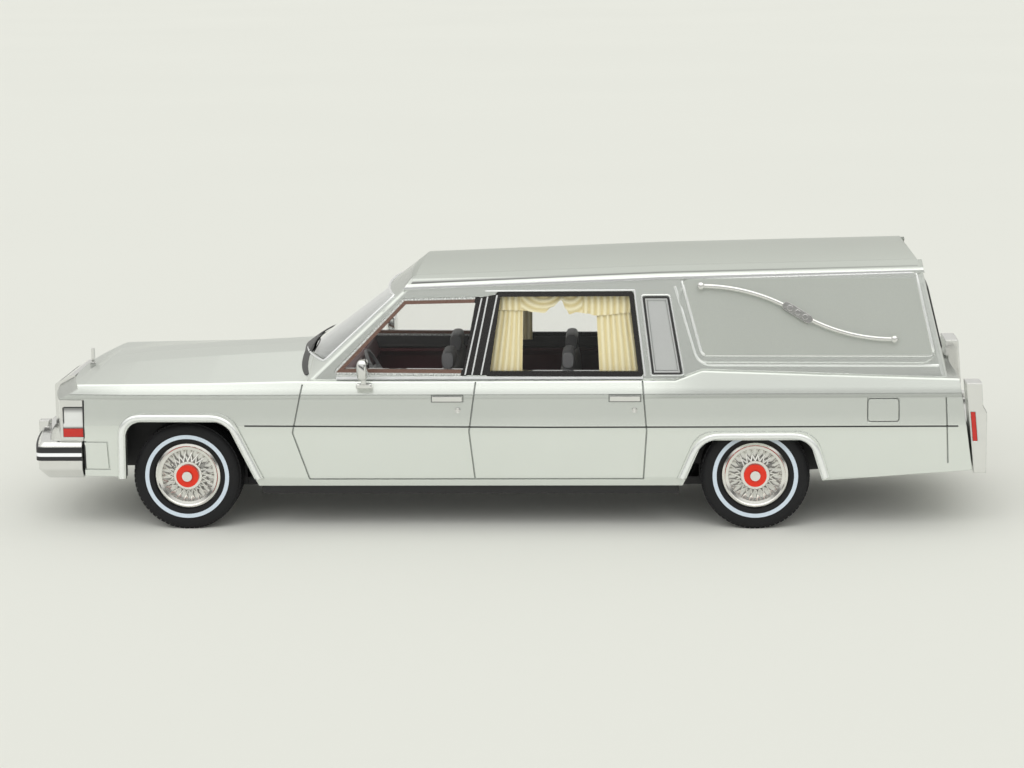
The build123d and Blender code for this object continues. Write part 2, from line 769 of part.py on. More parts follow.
# Door windows: the frames with the pillar between them, and the glass, one node a side each
windows = ((front_window, front_frame_width), (rear_window, rear_frame_width))
for side, name in ((-1, "left"), (1, "right")):
    half_car = box(-80, 80, 0, side * reach, 0, 60)
    with BuildPart() as frames:
        for window, width in windows:
            with BuildPart():
                add(cabin_slab(frame_depth, wall - fit_gap))
                add(side_prism(window, grow=-seat_gap, corner=window_corner), mode=Mode.INTERSECT)
                add(side_prism(window, grow=-width, corner=window_corner), mode=Mode.SUBTRACT)
        with BuildPart():
            add(cabin_slab(frame_depth, pillar_recess - seat_gap))
            add(side_prism(window_pillar, grow=-seat_gap), mode=Mode.INTERSECT)
        add(half_car, mode=Mode.INTERSECT)
    keep(frames.part, "window_frames_" + name)
    with BuildPart() as panes:
        for window, width in windows:
            with BuildPart():
                add(cabin_slab(glass_inset, glass_inset + glass_thickness))
                add(side_prism(window, grow=-width - seat_gap, corner=window_corner), mode=Mode.INTERSECT)
        add(half_car, mode=Mode.INTERSECT)
    with BuildPart() as clear_panes:
        add(panes.part)
        with BuildPart(mode=Mode.SUBTRACT):
            add(cabin_slab(-1.0, pillar_recess))
            add(side_prism(window_pillar, grow=seat_gap), mode=Mode.INTERSECT)
    keep(clear_panes.part, "door_glass_" + name)

# Bright strips under the door windows
with BuildPart() as belt_mouldings:
    add(cabin_slab(-belt_strip_out, -seat_gap))
    add(side_prism(belt_strip), mode=Mode.INTERSECT)
keep(belt_mouldings.part, "belt_mouldings")

# Opera panels: a plain panel inside a raised frame behind each rear door
with BuildPart() as opera_frames:
    add(cabin_slab(-opera_frame_out, opera_recess - seat_gap))
    add(side_prism(opera_panel, grow=-seat_gap), mode=Mode.INTERSECT)
    add(side_prism(opera_panel, grow=-opera_frame_width), mode=Mode.SUBTRACT)
keep(opera_frames.part, "opera_frames")
with BuildPart() as opera_panels:
    add(cabin_slab(opera_panel_inset, opera_recess - seat_gap))
    add(side_prism(opera_panel, grow=-opera_frame_width - seat_gap), mode=Mode.INTERSECT)
keep(opera_panels.part, "opera_panels")

# Drapes behind the rear door windows: two gathered panels and a valance
for side, name in ((-1, "left"), (1, "right")):
    with BuildPart() as drapes:
        add(cabin_slab(drape_inset, drape_inset + drape_thickness))
        with BuildPart(mode=Mode.INTERSECT):
            for outline in drape_outlines:
                add(side_prism(outline))
        add(box(-80, 80, 0, side * reach, 0, 60), mode=Mode.INTERSECT)
    keep(drapes.part, "drapes_" + name)

# Landau bars: an S-shaped rod between two balls, with a plate in its middle. The bar is drawn
# flat, with Z out from the rear panel, and then leaned against the panel.
lean = (side_y_top - side_y_belt) / (loft_top_z - belt_z)
slant = (1 + lean * lean) ** 0.5
bar_ends = [Vector(x, (z - belt_z) * slant) for x, z in (bar_start, bar_end)]
bar_middle = (bar_ends[0] + bar_ends[1]) / 2
foot_length = bar_stand_off - pad_out - 3 * seat_gap
with BuildPart() as flat_bar:
    with BuildLine() as route:
        TangentArc(bar_ends[0], bar_middle, tangent=(1, 0))
        TangentArc(bar_ends[1], bar_middle, tangent=(-1, 0))
    path = route.wires()[0]
    with BuildSketch(Plane(origin=path @ 0, z_dir=path % 0)):
        Circle(bar_radius)
    sweep(path=path)
    for end in bar_ends:
        with Locations(end):
            Sphere(bar_ball_radius)
        with Locations(end - Vector(0, 0, foot_length / 2)):
            Cylinder(bar_radius, foot_length)
    plate_plane = Plane(origin=bar_middle, x_dir=path % 0.5, z_dir=(0, 0, 1))
    with BuildSketch(plate_plane.offset(-bar_radius * 0.6)):
        SlotOverall(bar_plate_length, bar_plate_width)
    extrude(amount=bar_radius * 1.6)
    with BuildSketch(plate_plane.offset(bar_radius)):
        with GridLocations(bar_plate_width, 0, 3, 1):
            Circle(bar_stud_radius)
    extrude(amount=bar_radius * 0.6)
panel_plane = Plane(origin=(0, -(side_y_belt + bar_stand_off), belt_z), x_dir=(1, 0, 0), z_dir=(0, -1, -lean))
landau_bar_left = panel_plane.location * flat_bar.part
keep(landau_bar_left, "landau_bar_left")
keep(mirrored(landau_bar_left), "landau_bar_right")


def bow_layer(front_side_x, back_side_x, z_from, z_to):
    """A layer between two of the nose's bows, from one height to another."""
    with BuildPart() as layer:
        add(bowed_block(front_side_x, z_from, z_to))
        add(bowed_block(back_side_x, z_from - 1, z_to + 1), mode=Mode.SUBTRACT)
    return layer.part


def on_both_sides(y_from, y_to, z_from, z_to, x_from=-80.0, x_to=-55.0):
    """Two blocks, one on each side of the car."""
    with BuildPart() as pair:
        for side in (-1, 1):
            add(box(x_from, x_to, side * y_from, side * y_to, z_from, z_to))
    return pair.part


# Grille: a chrome shell with an egg-crate face
nose_back_x = nose_side_x - seat_gap
grille_side = [
    (grille_front_x, lamp_bottom_z),
    (grille_front_x, grille_lip_z),
    (grille_top_x, grille_top_z),
    (grille_shell_x, grille_top_z),
    (grille_shell_x, lamp_bottom_z),
]
lamp_top_z = header_lip_z - seat_gap
with BuildPart() as grille:
    add(side_prism(grille_side))
    add(box(-80, grille_shell_x - seat_gap, -grille_half, grille_half, 0, 60), mode=Mode.INTERSECT)
    with BuildPart():
        add(box(grille_front_x, nose_side_x, -grille_half, grille_half, lamp_bottom_z, lamp_top_z))
        add(bowed_block(nose_back_x, 0, 60), mode=Mode.SUBTRACT)
    face_height = grille_lip_z - lamp_bottom_z - 2 * grille_rim
    pitch_y = 2 * (grille_half - grille_rim) / grille_columns
    pitch_z = face_height / grille_rows
    face_middle = (grille_front_x, 0, (grille_lip_z + lamp_bottom_z) / 2)
    with BuildSketch(Plane(origin=face_middle, x_dir=(0, 1, 0), z_dir=(-1, 0, 0))):
        with GridLocations(pitch_y, pitch_z, grille_columns, grille_rows):
            Rectangle(pitch_y - grille_bar, pitch_z - grille_bar)
    extrude(amount=-grille_depth, mode=Mode.SUBTRACT)
keep(grille.part, "grille")

# Headlamp bezels with two lamps each, and the lenses round the corner
lamp_span = corner_inner_y - bezel_inner_y - 2 * bezel_rim
lamp_width = (lamp_span - bezel_middle) / 2
lamp_starts = (bezel_inner_y + bezel_rim, bezel_inner_y + bezel_rim + lamp_width + bezel_middle)
with BuildPart() as bezels:
    add(bow_layer(bezel_side_x, nose_back_x, lamp_bottom_z, lamp_top_z))
    add(on_both_sides(bezel_inner_y, bezel_outer_y, 0, 60), mode=Mode.INTERSECT)
    with BuildPart(mode=Mode.SUBTRACT):
        for y in lamp_starts:
            add(on_both_sides(y, y + lamp_width, lamp_low_z, lamp_high_z))
        add(bowed_block(bezel_side_x + lamp_pocket, 0, 60), mode=Mode.SUBTRACT)
    corner_x = (corner_front_x, nose_side_x + 5)
    add(on_both_sides(corner_inner_y, reach, marker_bottom_z, corner_top_z, *corner_x), mode=Mode.SUBTRACT)
keep(bezels.part, "headlamp_bezels")
with BuildPart() as lamps:
    for y in lamp_starts:
        add(on_both_sides(y + seat_gap, y + lamp_width - seat_gap, lamp_low_z + seat_gap, lamp_high_z - seat_gap))
    lamp_back_x = bezel_side_x + lamp_pocket - seat_gap
    add(bow_layer(bezel_side_x + lamp_set_back, lamp_back_x, lamp_low_z, lamp_high_z), mode=Mode.INTERSECT)
keep(lamps.part, "headlamps")
for name, z_from, z_to in (
    ("corner_lenses", marker_top_z + seat_gap, corner_top_z - seat_gap),
    ("side_markers", marker_bottom_z + seat_gap, marker_top_z),
):
    with BuildPart() as lenses:
        lens_x = (corner_front_x + seat_gap, nose_side_x + 5)
        add(on_both_sides(corner_inner_y + seat_gap, bezel_outer_y + seat_gap, z_from, z_to, *lens_x))
        add(bowed_block(nose_back_x, 0, 60), mode=Mode.SUBTRACT)
    keep(lenses.part, name)

# Bonnet ornament: a plain upright blade on a small foot
with BuildPart() as ornament:
    foot_z = bonnet_z(ornament_x) + fit_gap
    foot_side, foot_height = ornament_foot
    blade_length, blade_width = ornament_blade
    with Locations((ornament_x, 0, foot_z + foot_height / 2)):
        Box(foot_side, foot_side, foot_height)
    with Locations((ornament_x, 0, foot_z + ornament_height / 2)):
        Box(blade_length, blade_width, ornament_height)
keep(ornament.part, "bonnet_ornament")


def bumper_plan(z, end_x, corner_x, half_width, middle_x, corner_radius, inset):
    """A bumper's plan at one height: straight ends, round corners and a bowed middle."""
    ahead = 1 if middle_x > end_x else -1
    turn_x = corner_x - ahead * inset
    y = half_width - inset
    with BuildSketch(Plane.XY.offset(z)) as plan:
        with BuildLine():
            Line((end_x, -y), (turn_x, -y))
            ThreePointArc((turn_x, -y), (middle_x - ahead * inset, 0), (turn_x, y))
            Line((turn_x, y), (end_x, y))
            Line((end_x, y), (end_x, -y))
        make_face()
        fillet(plan.vertices().filter_by(lambda v: abs(v.X - turn_x) < 0.01), corner_radius)
    return plan.sketch


def bumper_layer(plan_row, z_from, z_to, inset_from, inset_to):
    """A bumper's plan carried up between two heights, with its own inset at each."""
    with BuildPart() as layer:
        loft(
            sections=[bumper_plan(z_from, *plan_row, inset_from), bumper_plan(z_to, *plan_row, inset_to)],
            ruled=True,
        )
    return layer.part


for name, *plan_row, foot_tuck, foot_z, lower_z, upper_z, top_z, strip_low_z, strip_high_z in bumper_rows:
    end_x, _, _, middle_x, _ = plan_row
    ahead = 1 if middle_x > end_x else -1
    guard_x = (middle_x - ahead * guard_back, middle_x + ahead * guard_out)
    with BuildPart() as bumper:
        add(bumper_layer(plan_row, foot_z, lower_z, foot_tuck, 0))
        add(bumper_layer(plan_row, lower_z, upper_z, 0, 0))
        add(bumper_layer(plan_row, upper_z, top_z, 0, top_tuck))
        if name == "front":
            inner_row = (end_x - 2 * ahead, *plan_row[1:])
            add(bumper_layer(inner_row, foot_z - 1, top_z + 1, bumper_bar, bumper_bar), mode=Mode.SUBTRACT)
        for y in (-guard_y, guard_y):
            add(box(*guard_x, y - guard_width / 2, y + guard_width / 2, lower_z - 0.5, top_z + guard_rise))
    keep(bumper.part, name + "_bumper")
    with BuildPart() as strip:
        add(bumper_layer(plan_row, strip_low_z, strip_high_z, -strip_out, -strip_out))
        add(bumper_layer(plan_row, strip_low_z - 1, strip_high_z + 1, -strip_gap, -strip_gap), mode=Mode.SUBTRACT)
        for y in (-guard_y, guard_y):
            slot_y = (y - guard_width / 2 - seat_gap, y + guard_width / 2 + seat_gap)
            add(box(middle_x - 5, middle_x + 5, *slot_y, 0, 40), mode=Mode.SUBTRACT)
    keep(strip.part, name + "_rub_strip")

# Tail ends: a bright cap on each wing, with a slanted lens at its side and a tall one behind
tail_x = (60.0, 80.0)
with BuildPart() as tail_caps:
    add(side_prism(cap_outline))
    add(on_both_sides(cap_inner_y, cap_outer_y, 0, 60, *tail_x), mode=Mode.INTERSECT)
    with BuildPart(mode=Mode.SUBTRACT):
        add(side_prism(side_lens))
        add(on_both_sides(cap_outer_y - lens_sink, reach, 0, 60, *tail_x), mode=Mode.INTERSECT)
    rear_pocket = (cap_outline[4][0] - lens_sink, 80.0)
    add(on_both_sides(*rear_lens_y, *rear_lens_z, *rear_pocket), mode=Mode.SUBTRACT)
keep(tail_caps.part, "tail_lamp_housings")
with BuildPart() as lenses:
    with BuildPart():
        add(side_prism(side_lens, grow=-seat_gap))
        lens_y = (cap_outer_y - lens_sink + seat_gap, cap_outer_y)
        add(on_both_sides(*lens_y, 0, 60, *tail_x), mode=Mode.INTERSECT)
    lens_y = (rear_lens_y[0] + seat_gap, rear_lens_y[1] - seat_gap)
    lens_z = (rear_lens_z[0] + seat_gap, rear_lens_z[1] - seat_gap)
    add(on_both_sides(*lens_y, *lens_z, rear_pocket[0] + seat_gap, cap_outline[4][0]))
keep(lenses.part, "tail_lamp_lenses")

# Bright handle panel in the middle of the tail door
with BuildPart() as tail_door_handle:
    add(side_prism(tail_handle))
    add(box(60, 80, -tail_handle_half, tail_handle_half, 0, 60), mode=Mode.INTERSECT)
keep(tail_door_handle.part, "tail_door_handle")

# Door mirrors
with BuildPart() as mirror_left:
    add(box(mirror_x, mirror_x + 2.4, -23.0, -mirror_face_y, mirror_foot_z, mirror_foot_z + 0.7))
    add(box(mirror_x + 0.6, mirror_x + 1.5, -23.0, -22.3, mirror_foot_z, mirror_head_z + 0.4))
    add(box(mirror_x + 0.2, mirror_x + 2.0, -25.0, -21.6, mirror_head_z, mirror_head_z + mirror_head_height))
keep(mirror_left.part, "door_mirror_left")
keep(mirrored(mirror_left.part), "door_mirror_right")

# Door handles: a bar on two feet on each of the four doors
with BuildPart() as handles:
    handle_low = handle_z - handle_height / 2
    handle_high = handle_z + handle_height / 2
    for x in handle_x:
        bar_x = (x - handle_length / 2, x + handle_length / 2)
        bar_y = (side_face_y + handle_stand_off, side_face_y + handle_out)
        add(on_both_sides(*bar_y, handle_low, handle_high, *bar_x))
        for foot_x in (bar_x[0], bar_x[1] - handle_foot):
            foot_span = (foot_x, foot_x + handle_foot)
            add(on_both_sides(side_face_y, bar_y[1] - 0.1, handle_low, handle_high, *foot_span))
keep(handles.part, "door_handles")

# Tyre and wheel cover, each drawn once along Z from the wheel's inner face
profile_half = [(rim_seat_radius + out, share * tyre_width) for out, share in tyre_profile]
profile_back = [(radius, tyre_width - height) for radius, height in reversed(profile_half)]
with BuildPart() as tyre:
    with BuildSketch(Plane.XZ):
        with BuildLine():
            Polyline(profile_half + profile_back, close=True)
        make_face()
    revolve(axis=Axis.Z)

cover_radius = rim_seat_radius - seat_gap
cover_face = tyre_width - cover_recess
bowl_radius = cover_radius - cover_ring_width
bowl_floor = cover_face - cover_bowl_depth
hub_face = cover_face - fit_gap
axle_socket = axle_end_depth + 0.2
boss_top = hub_face + centre_disc_thickness + cover_boss_height
cover_profile = [
    (axle_radius + press_gap, 0.0),
    (cover_radius, 0.0),
    (cover_radius, cover_face),
    (cover_radius - cover_rim_crest, cover_face + cover_rim_step),
    (cover_radius - 1.5 * cover_rim_crest, cover_face),
    (bowl_radius, cover_face - cover_rim_step),
    (bowl_radius, bowl_floor),
    (hub_ring_radius, bowl_floor),
    (hub_ring_radius, hub_face),
    (cover_boss_radius, hub_face),
    (cover_boss_radius, boss_top),
    (0.0, boss_top),
    (0.0, axle_socket),
    (axle_radius + press_gap, axle_socket),
]
spoke_run = bowl_radius - hub_ring_radius + 2 * spoke_root
with BuildPart() as cover:
    with BuildSketch(Plane.XZ):
        with BuildLine():
            Polyline(cover_profile, close=True)
        make_face()
    revolve(axis=Axis.Z)
    spoke_middle = (bowl_radius + hub_ring_radius) / 2
    spoke_z = cover_face - spoke_middle_depth
    for way in (-1, 1):
        with PolarLocations(spoke_middle, cover_spokes):
            with Locations(Location((0, 0, spoke_z - spoke_layer * way), (0, spoke_tilt, way * spoke_lean))):
                Box(spoke_run, spoke_width, spoke_height)

# Running gear: at each axle a shaft, two tyres, two covers and two centre discs
for place, axle_x in (("front", front_axle_x), ("rear", rear_axle_x)):
    with BuildPart() as shaft:
        with Locations(Location((axle_x, 0, axle_z), (90, 0, 0))):
            Cylinder(axle_radius, 2 * (hub_y + axle_end_depth))
    keep(shaft.part, place + "_axle")
    for side, name in ((-1, "left"), (1, "right")):
        hub = Plane(origin=(axle_x, side * hub_y, axle_z), x_dir=(1, 0, 0), z_dir=(0, side, 0))
        keep(hub.location * tyre.part, place + "_tyre_" + name)
        keep(hub.location * cover.part, place + "_wheel_cover_" + name)
        with BuildPart() as disc:
            with BuildSketch(hub.offset(hub_face + press_gap)):
                Circle(centre_disc_radius)
                Circle(cover_boss_radius + press_gap, mode=Mode.SUBTRACT)
            extrude(amount=centre_disc_thickness)
        keep(disc.part, place + "_centre_disc_" + name)
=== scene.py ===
"""Dresses a 1:43 scale model hearse: finishes, tyres, drapes, seats, small trim and the studio."""

from __future__ import annotations

import json
import logging
import math
from dataclasses import dataclass, field
from enum import Enum
from functools import reduce
from typing import Callable, Sequence

import bmesh
import bpy
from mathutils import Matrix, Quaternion, Vector
from mathutils.bvhtree import BVHTree

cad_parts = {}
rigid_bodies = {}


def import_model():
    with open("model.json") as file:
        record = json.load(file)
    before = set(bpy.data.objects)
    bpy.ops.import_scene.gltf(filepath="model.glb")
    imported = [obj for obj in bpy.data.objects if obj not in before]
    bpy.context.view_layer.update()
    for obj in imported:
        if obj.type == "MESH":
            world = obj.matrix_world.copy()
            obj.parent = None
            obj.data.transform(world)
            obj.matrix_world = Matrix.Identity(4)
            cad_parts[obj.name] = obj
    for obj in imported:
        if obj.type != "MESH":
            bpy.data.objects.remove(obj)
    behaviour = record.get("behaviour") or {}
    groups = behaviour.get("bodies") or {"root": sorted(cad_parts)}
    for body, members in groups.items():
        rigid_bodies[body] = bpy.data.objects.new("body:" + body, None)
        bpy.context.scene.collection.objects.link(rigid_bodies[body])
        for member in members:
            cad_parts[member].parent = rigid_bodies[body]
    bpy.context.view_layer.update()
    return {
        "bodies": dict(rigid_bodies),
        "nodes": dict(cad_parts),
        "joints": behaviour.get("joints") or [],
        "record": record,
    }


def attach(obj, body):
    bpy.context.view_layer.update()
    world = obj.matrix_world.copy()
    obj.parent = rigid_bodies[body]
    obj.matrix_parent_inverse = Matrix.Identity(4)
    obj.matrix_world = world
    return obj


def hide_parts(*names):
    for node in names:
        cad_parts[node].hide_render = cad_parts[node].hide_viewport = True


LOG = logging.getLogger("hearse")
MM = 0.001
SHUT_LINE = 0.07  # half width of the dark lines in shut gaps, in millimetres
Colour = tuple[float, float, float]
Point = tuple[float, float, float]


class Side(Enum):
    """The car's two sides, as the sign of Y."""

    LEFT = -1
    RIGHT = 1


class Axle(Enum):
    """The two axles, with their place along the car in millimetres."""

    FRONT = -47.5
    REAR = 37.86

    @property
    def body(self) -> str:
        """Name of the frame's body that the axle is."""
        return self.name.lower() + "_axle"


def screen_colour(red: int, green: int, blue: int) -> Colour:
    """Turns a screen's colour, 0 to 255, into the shader's linear scale, 0 to 1."""
    shares = (red / 255, green / 255, blue / 255)
    return tuple(s / 12.92 if s <= 0.04045 else ((s + 0.055) / 1.055) ** 2.4 for s in shares)


def operator(operation: str, reflected: bool = False) -> Callable:
    """A method that joins a field and another value in one Math node, the other first where reflected."""

    def method(field: Field, other: Field | float) -> Field:
        """Adds the node."""
        return field.maths(operation, *((other, field) if reflected else (field, other)))

    return method


class Field:
    """A shader socket that takes part in Python sums."""

    def __init__(self, tree: bpy.types.NodeTree, socket: bpy.types.NodeSocket) -> None:
        """Keeps the tree and the socket."""
        self.tree = tree
        self.socket = socket

    def maths(self, operation: str, *values: Field | float) -> Field:
        """Adds a Math node.

        Args:
            operation: Name of the node's operation.
            values: Its inputs, in order.

        Returns:
            The node's result.
        """
        node = self.tree.nodes.new("ShaderNodeMath")
        node.operation = operation
        for socket, value in zip(node.inputs, values):
            plug(self.tree, value, socket)
        return Field(self.tree, node.outputs[0])

    __add__ = operator("ADD")
    __radd__ = operator("ADD", reflected=True)
    __sub__ = operator("SUBTRACT")
    __rsub__ = operator("SUBTRACT", reflected=True)
    __mul__ = operator("MULTIPLY")
    __rmul__ = operator("MULTIPLY", reflected=True)
    __truediv__ = operator("DIVIDE")
    low = operator("MINIMUM")
    high = operator("MAXIMUM")

    def __abs__(self) -> Field:
        """Size without sign."""
        return self.maths("ABSOLUTE", self)

    def clamp(self) -> Field:
        """The value held between 0 and 1."""
        return Nodes(self.tree).node("ShaderNodeClamp", {}, {"Value": self})

    def over(self, edge: Field | float, soft: float = 0.05) -> Field:
        """1 where this value is over the edge and 0 under it, with a short soft change."""
        return ((self - edge) * (0.5 / soft) + 0.5).clamp()

    def within(
        self, low: Field | float, high: Field | float, rise: float = 0.05, fall: float = 0.05
    ) -> Field:
        """1 between two edges, with a soft rise at the low one and a soft fall at the high one."""
        return self.over(low, rise) * (1.0 - self.over(high, fall))

    def near(self, line: Field | float, half_width: float, soft: float = 0.04) -> Field:
        """1 within half_width of a line and 0 away from it."""
        return 1.0 - abs(self - line).over(half_width, soft)


def plug(tree: bpy.types.NodeTree, value: object, socket: bpy.types.NodeSocket) -> None:
    """Links a field to a socket, or sets the socket to a plain value."""
    if isinstance(value, Field):
        tree.links.new(value.socket, socket)
    else:
        socket.default_value = (*value, 1.0) if socket.type == "RGBA" else value


def lowest(x: Field, lines: Sequence[tuple[float, float]]) -> Field:
    """The lowest of some straight lines, each given by its height at X = 0 and its slope."""
    return reduce(Field.low, [height + slope * x for height, slope in lines])


def outline(x: Field, z: Field, middle: tuple[float, float], half: tuple[float, float]) -> Field:
    """1 along the edge of an upright rectangle, given by its middle and half sizes."""
    return (abs(x - middle[0]) - half[0]).high(abs(z - middle[1]) - half[1]).near(0.0, SHUT_LINE)


class Nodes:
    """A node tree that is being put together."""

    def __init__(self, tree: bpy.types.NodeTree) -> None:
        """Takes the tree."""
        self.tree = tree

    def node(self, kind: str, settings: dict, inputs: dict, output: int | str = 0) -> Field:
        """Adds one node.

        Args:
            kind: The node's type.
            settings: Properties set before its sockets.
            inputs: Values or fields for its sockets, by name or number.
            output: Which output to return.

        Returns:
            The chosen output.
        """
        node = self.tree.nodes.new(kind)
        for key, value in settings.items():
            setattr(node, key, value)
        for key, value in inputs.items():
            plug(self.tree, value, node.inputs[key])
        return Field(self.tree, node.outputs[output])

    def split(self, vector: Field) -> tuple[Field, ...]:
        """A vector's three parts."""
        node = self.tree.nodes.new("ShaderNodeSeparateXYZ")
        plug(self.tree, vector, node.inputs[0])
        return tuple(Field(self.tree, socket) for socket in node.outputs)


class Recipe(Nodes):
    """A material being put together."""

    def __init__(self, name: str) -> None:
        """Starts a material with one closed shader.

        Args:
            name: The finish's name.
        """
        self.material = bpy.data.materials.new(name)
        self.material.use_nodes = True
        super().__init__(self.material.node_tree)
        self.tree.nodes.clear()
        self.shader = self.tree.nodes.new("ShaderNodeBsdfPrincipled")
        output = self.tree.nodes.new("ShaderNodeOutputMaterial")
        self.tree.links.new(self.shader.outputs[0], output.inputs["Surface"])

    def point(self) -> Field:
        """The point on the object, in metres."""
        return self.node("ShaderNodeTexCoord", {}, {}, "Object")

    def place(self) -> tuple[Field, ...]:
        """The point on the object, in millimetres, as three fields."""
        return tuple(part * (1 / MM) for part in self.split(self.point()))

    def noise(self, per_mm: float, detail: float = 2.0) -> Field:
        """Noise of about 0 to 1 with a number of cells to the millimetre."""
        inputs = {"Vector": self.point(), "Scale": per_mm / MM, "Detail": detail}
        return self.node("ShaderNodeTexNoise", {}, inputs)

    def mix(self, share: Field | float, first: object, second: object) -> Field:
        """A colour between two colours."""
        return self.node("ShaderNodeMix", {"data_type": "RGBA"}, {0: share, 6: first, 7: second}, 2)

    def shade(self, colour: object, amount: Field) -> Field:
        """A colour made darker or lighter by a field around 1."""
        return self.node("ShaderNodeVectorMath", {"operation": "SCALE"}, {0: colour, "Scale": amount})

    def surface(self, height: Field, depth_mm: float, rounding_mm: float = 0.0) -> None:
        """Gives the shader its surface relief and its rounded edges.

        Args:
            height: Relief from 0 to 1.
            depth_mm: Depth of the whole relief.
            rounding_mm: Radius that sharp edges are shown with.
        """
        inputs = {"Height": height, "Distance": depth_mm * MM, "Strength": 1.0}
        if rounding_mm:
            inputs["Normal"] = self.node("ShaderNodeBevel", {"samples": 4}, {"Radius": rounding_mm * MM})
        plug(self.tree, self.node("ShaderNodeBump", {}, inputs), self.shader.inputs["Normal"])

    def finish(self, **sockets: object) -> bpy.types.Material:
        """Sets the shader's sockets, named in lower case with underscores, and returns the material."""
        for key, value in sockets.items():
            label = key.replace("_", " ").title().replace("Ior", "IOR")
            plug(self.tree, value, self.shader.inputs[label])
        return self.material


@dataclass(frozen=True)
class CabinShape:
    """The cabin's outer surfaces, in millimetres, as the frame has them."""

    belt_z: float = 22.0
    top_z: float = 43.0
    side_belt: float = 20.3
    side_top: float = 15.7
    screen_mid_belt: float = -35.4
    screen_end_belt: float = -29.4
    screen_top: float = -7.0
    tail_belt: float = 66.4
    tail_top: float = 61.5
    tail_bow: float = 0.7
    cant_y: float = 14.4

    def share(self, z: float | Field) -> float | Field:
        """Share of the way up from the belt to the top."""
        return (z - self.belt_z) / (self.top_z - self.belt_z)

    def side(self, z: float | Field) -> float | Field:
        """Half width of the cabin at a height."""
        return self.side_belt + (self.side_top - self.side_belt) * self.share(z)

    def screen_bow(self, bow: float | Field, z: float | Field) -> float | Field:
        """Place along the car of the windscreen's surface, at a share of its bow."""
        middle = self.screen_mid_belt + (self.screen_top - self.screen_mid_belt) * self.share(z)
        end = self.screen_end_belt + (self.screen_top - self.screen_end_belt) * self.share(z)
        return middle + (end - middle) * bow

    def screen(self, y: float, z: float) -> float:
        """Place along the car of the windscreen's surface."""
        return self.screen_bow((y / self.side(z)) ** 2, z)

    def tail_end(self, z: float | Field) -> float | Field:
        """Place along the car of the tail door's corners."""
        return self.tail_belt + (self.tail_top - self.tail_belt) * self.share(z)

    def tail(self, y: float, z: float) -> float:
        """Place along the car of the tail door's surface."""
        return self.tail_end(z) + self.tail_bow * (1 - (y / self.side(z)) ** 2)

    def on_side(self, x: float, z: float, side: Side, out: float = 0.0) -> Point:
        """A point on the cabin's side, moved outwards by out."""
        return (x, side.value * (self.side(z) + out), z)


CABIN = CabinShape()


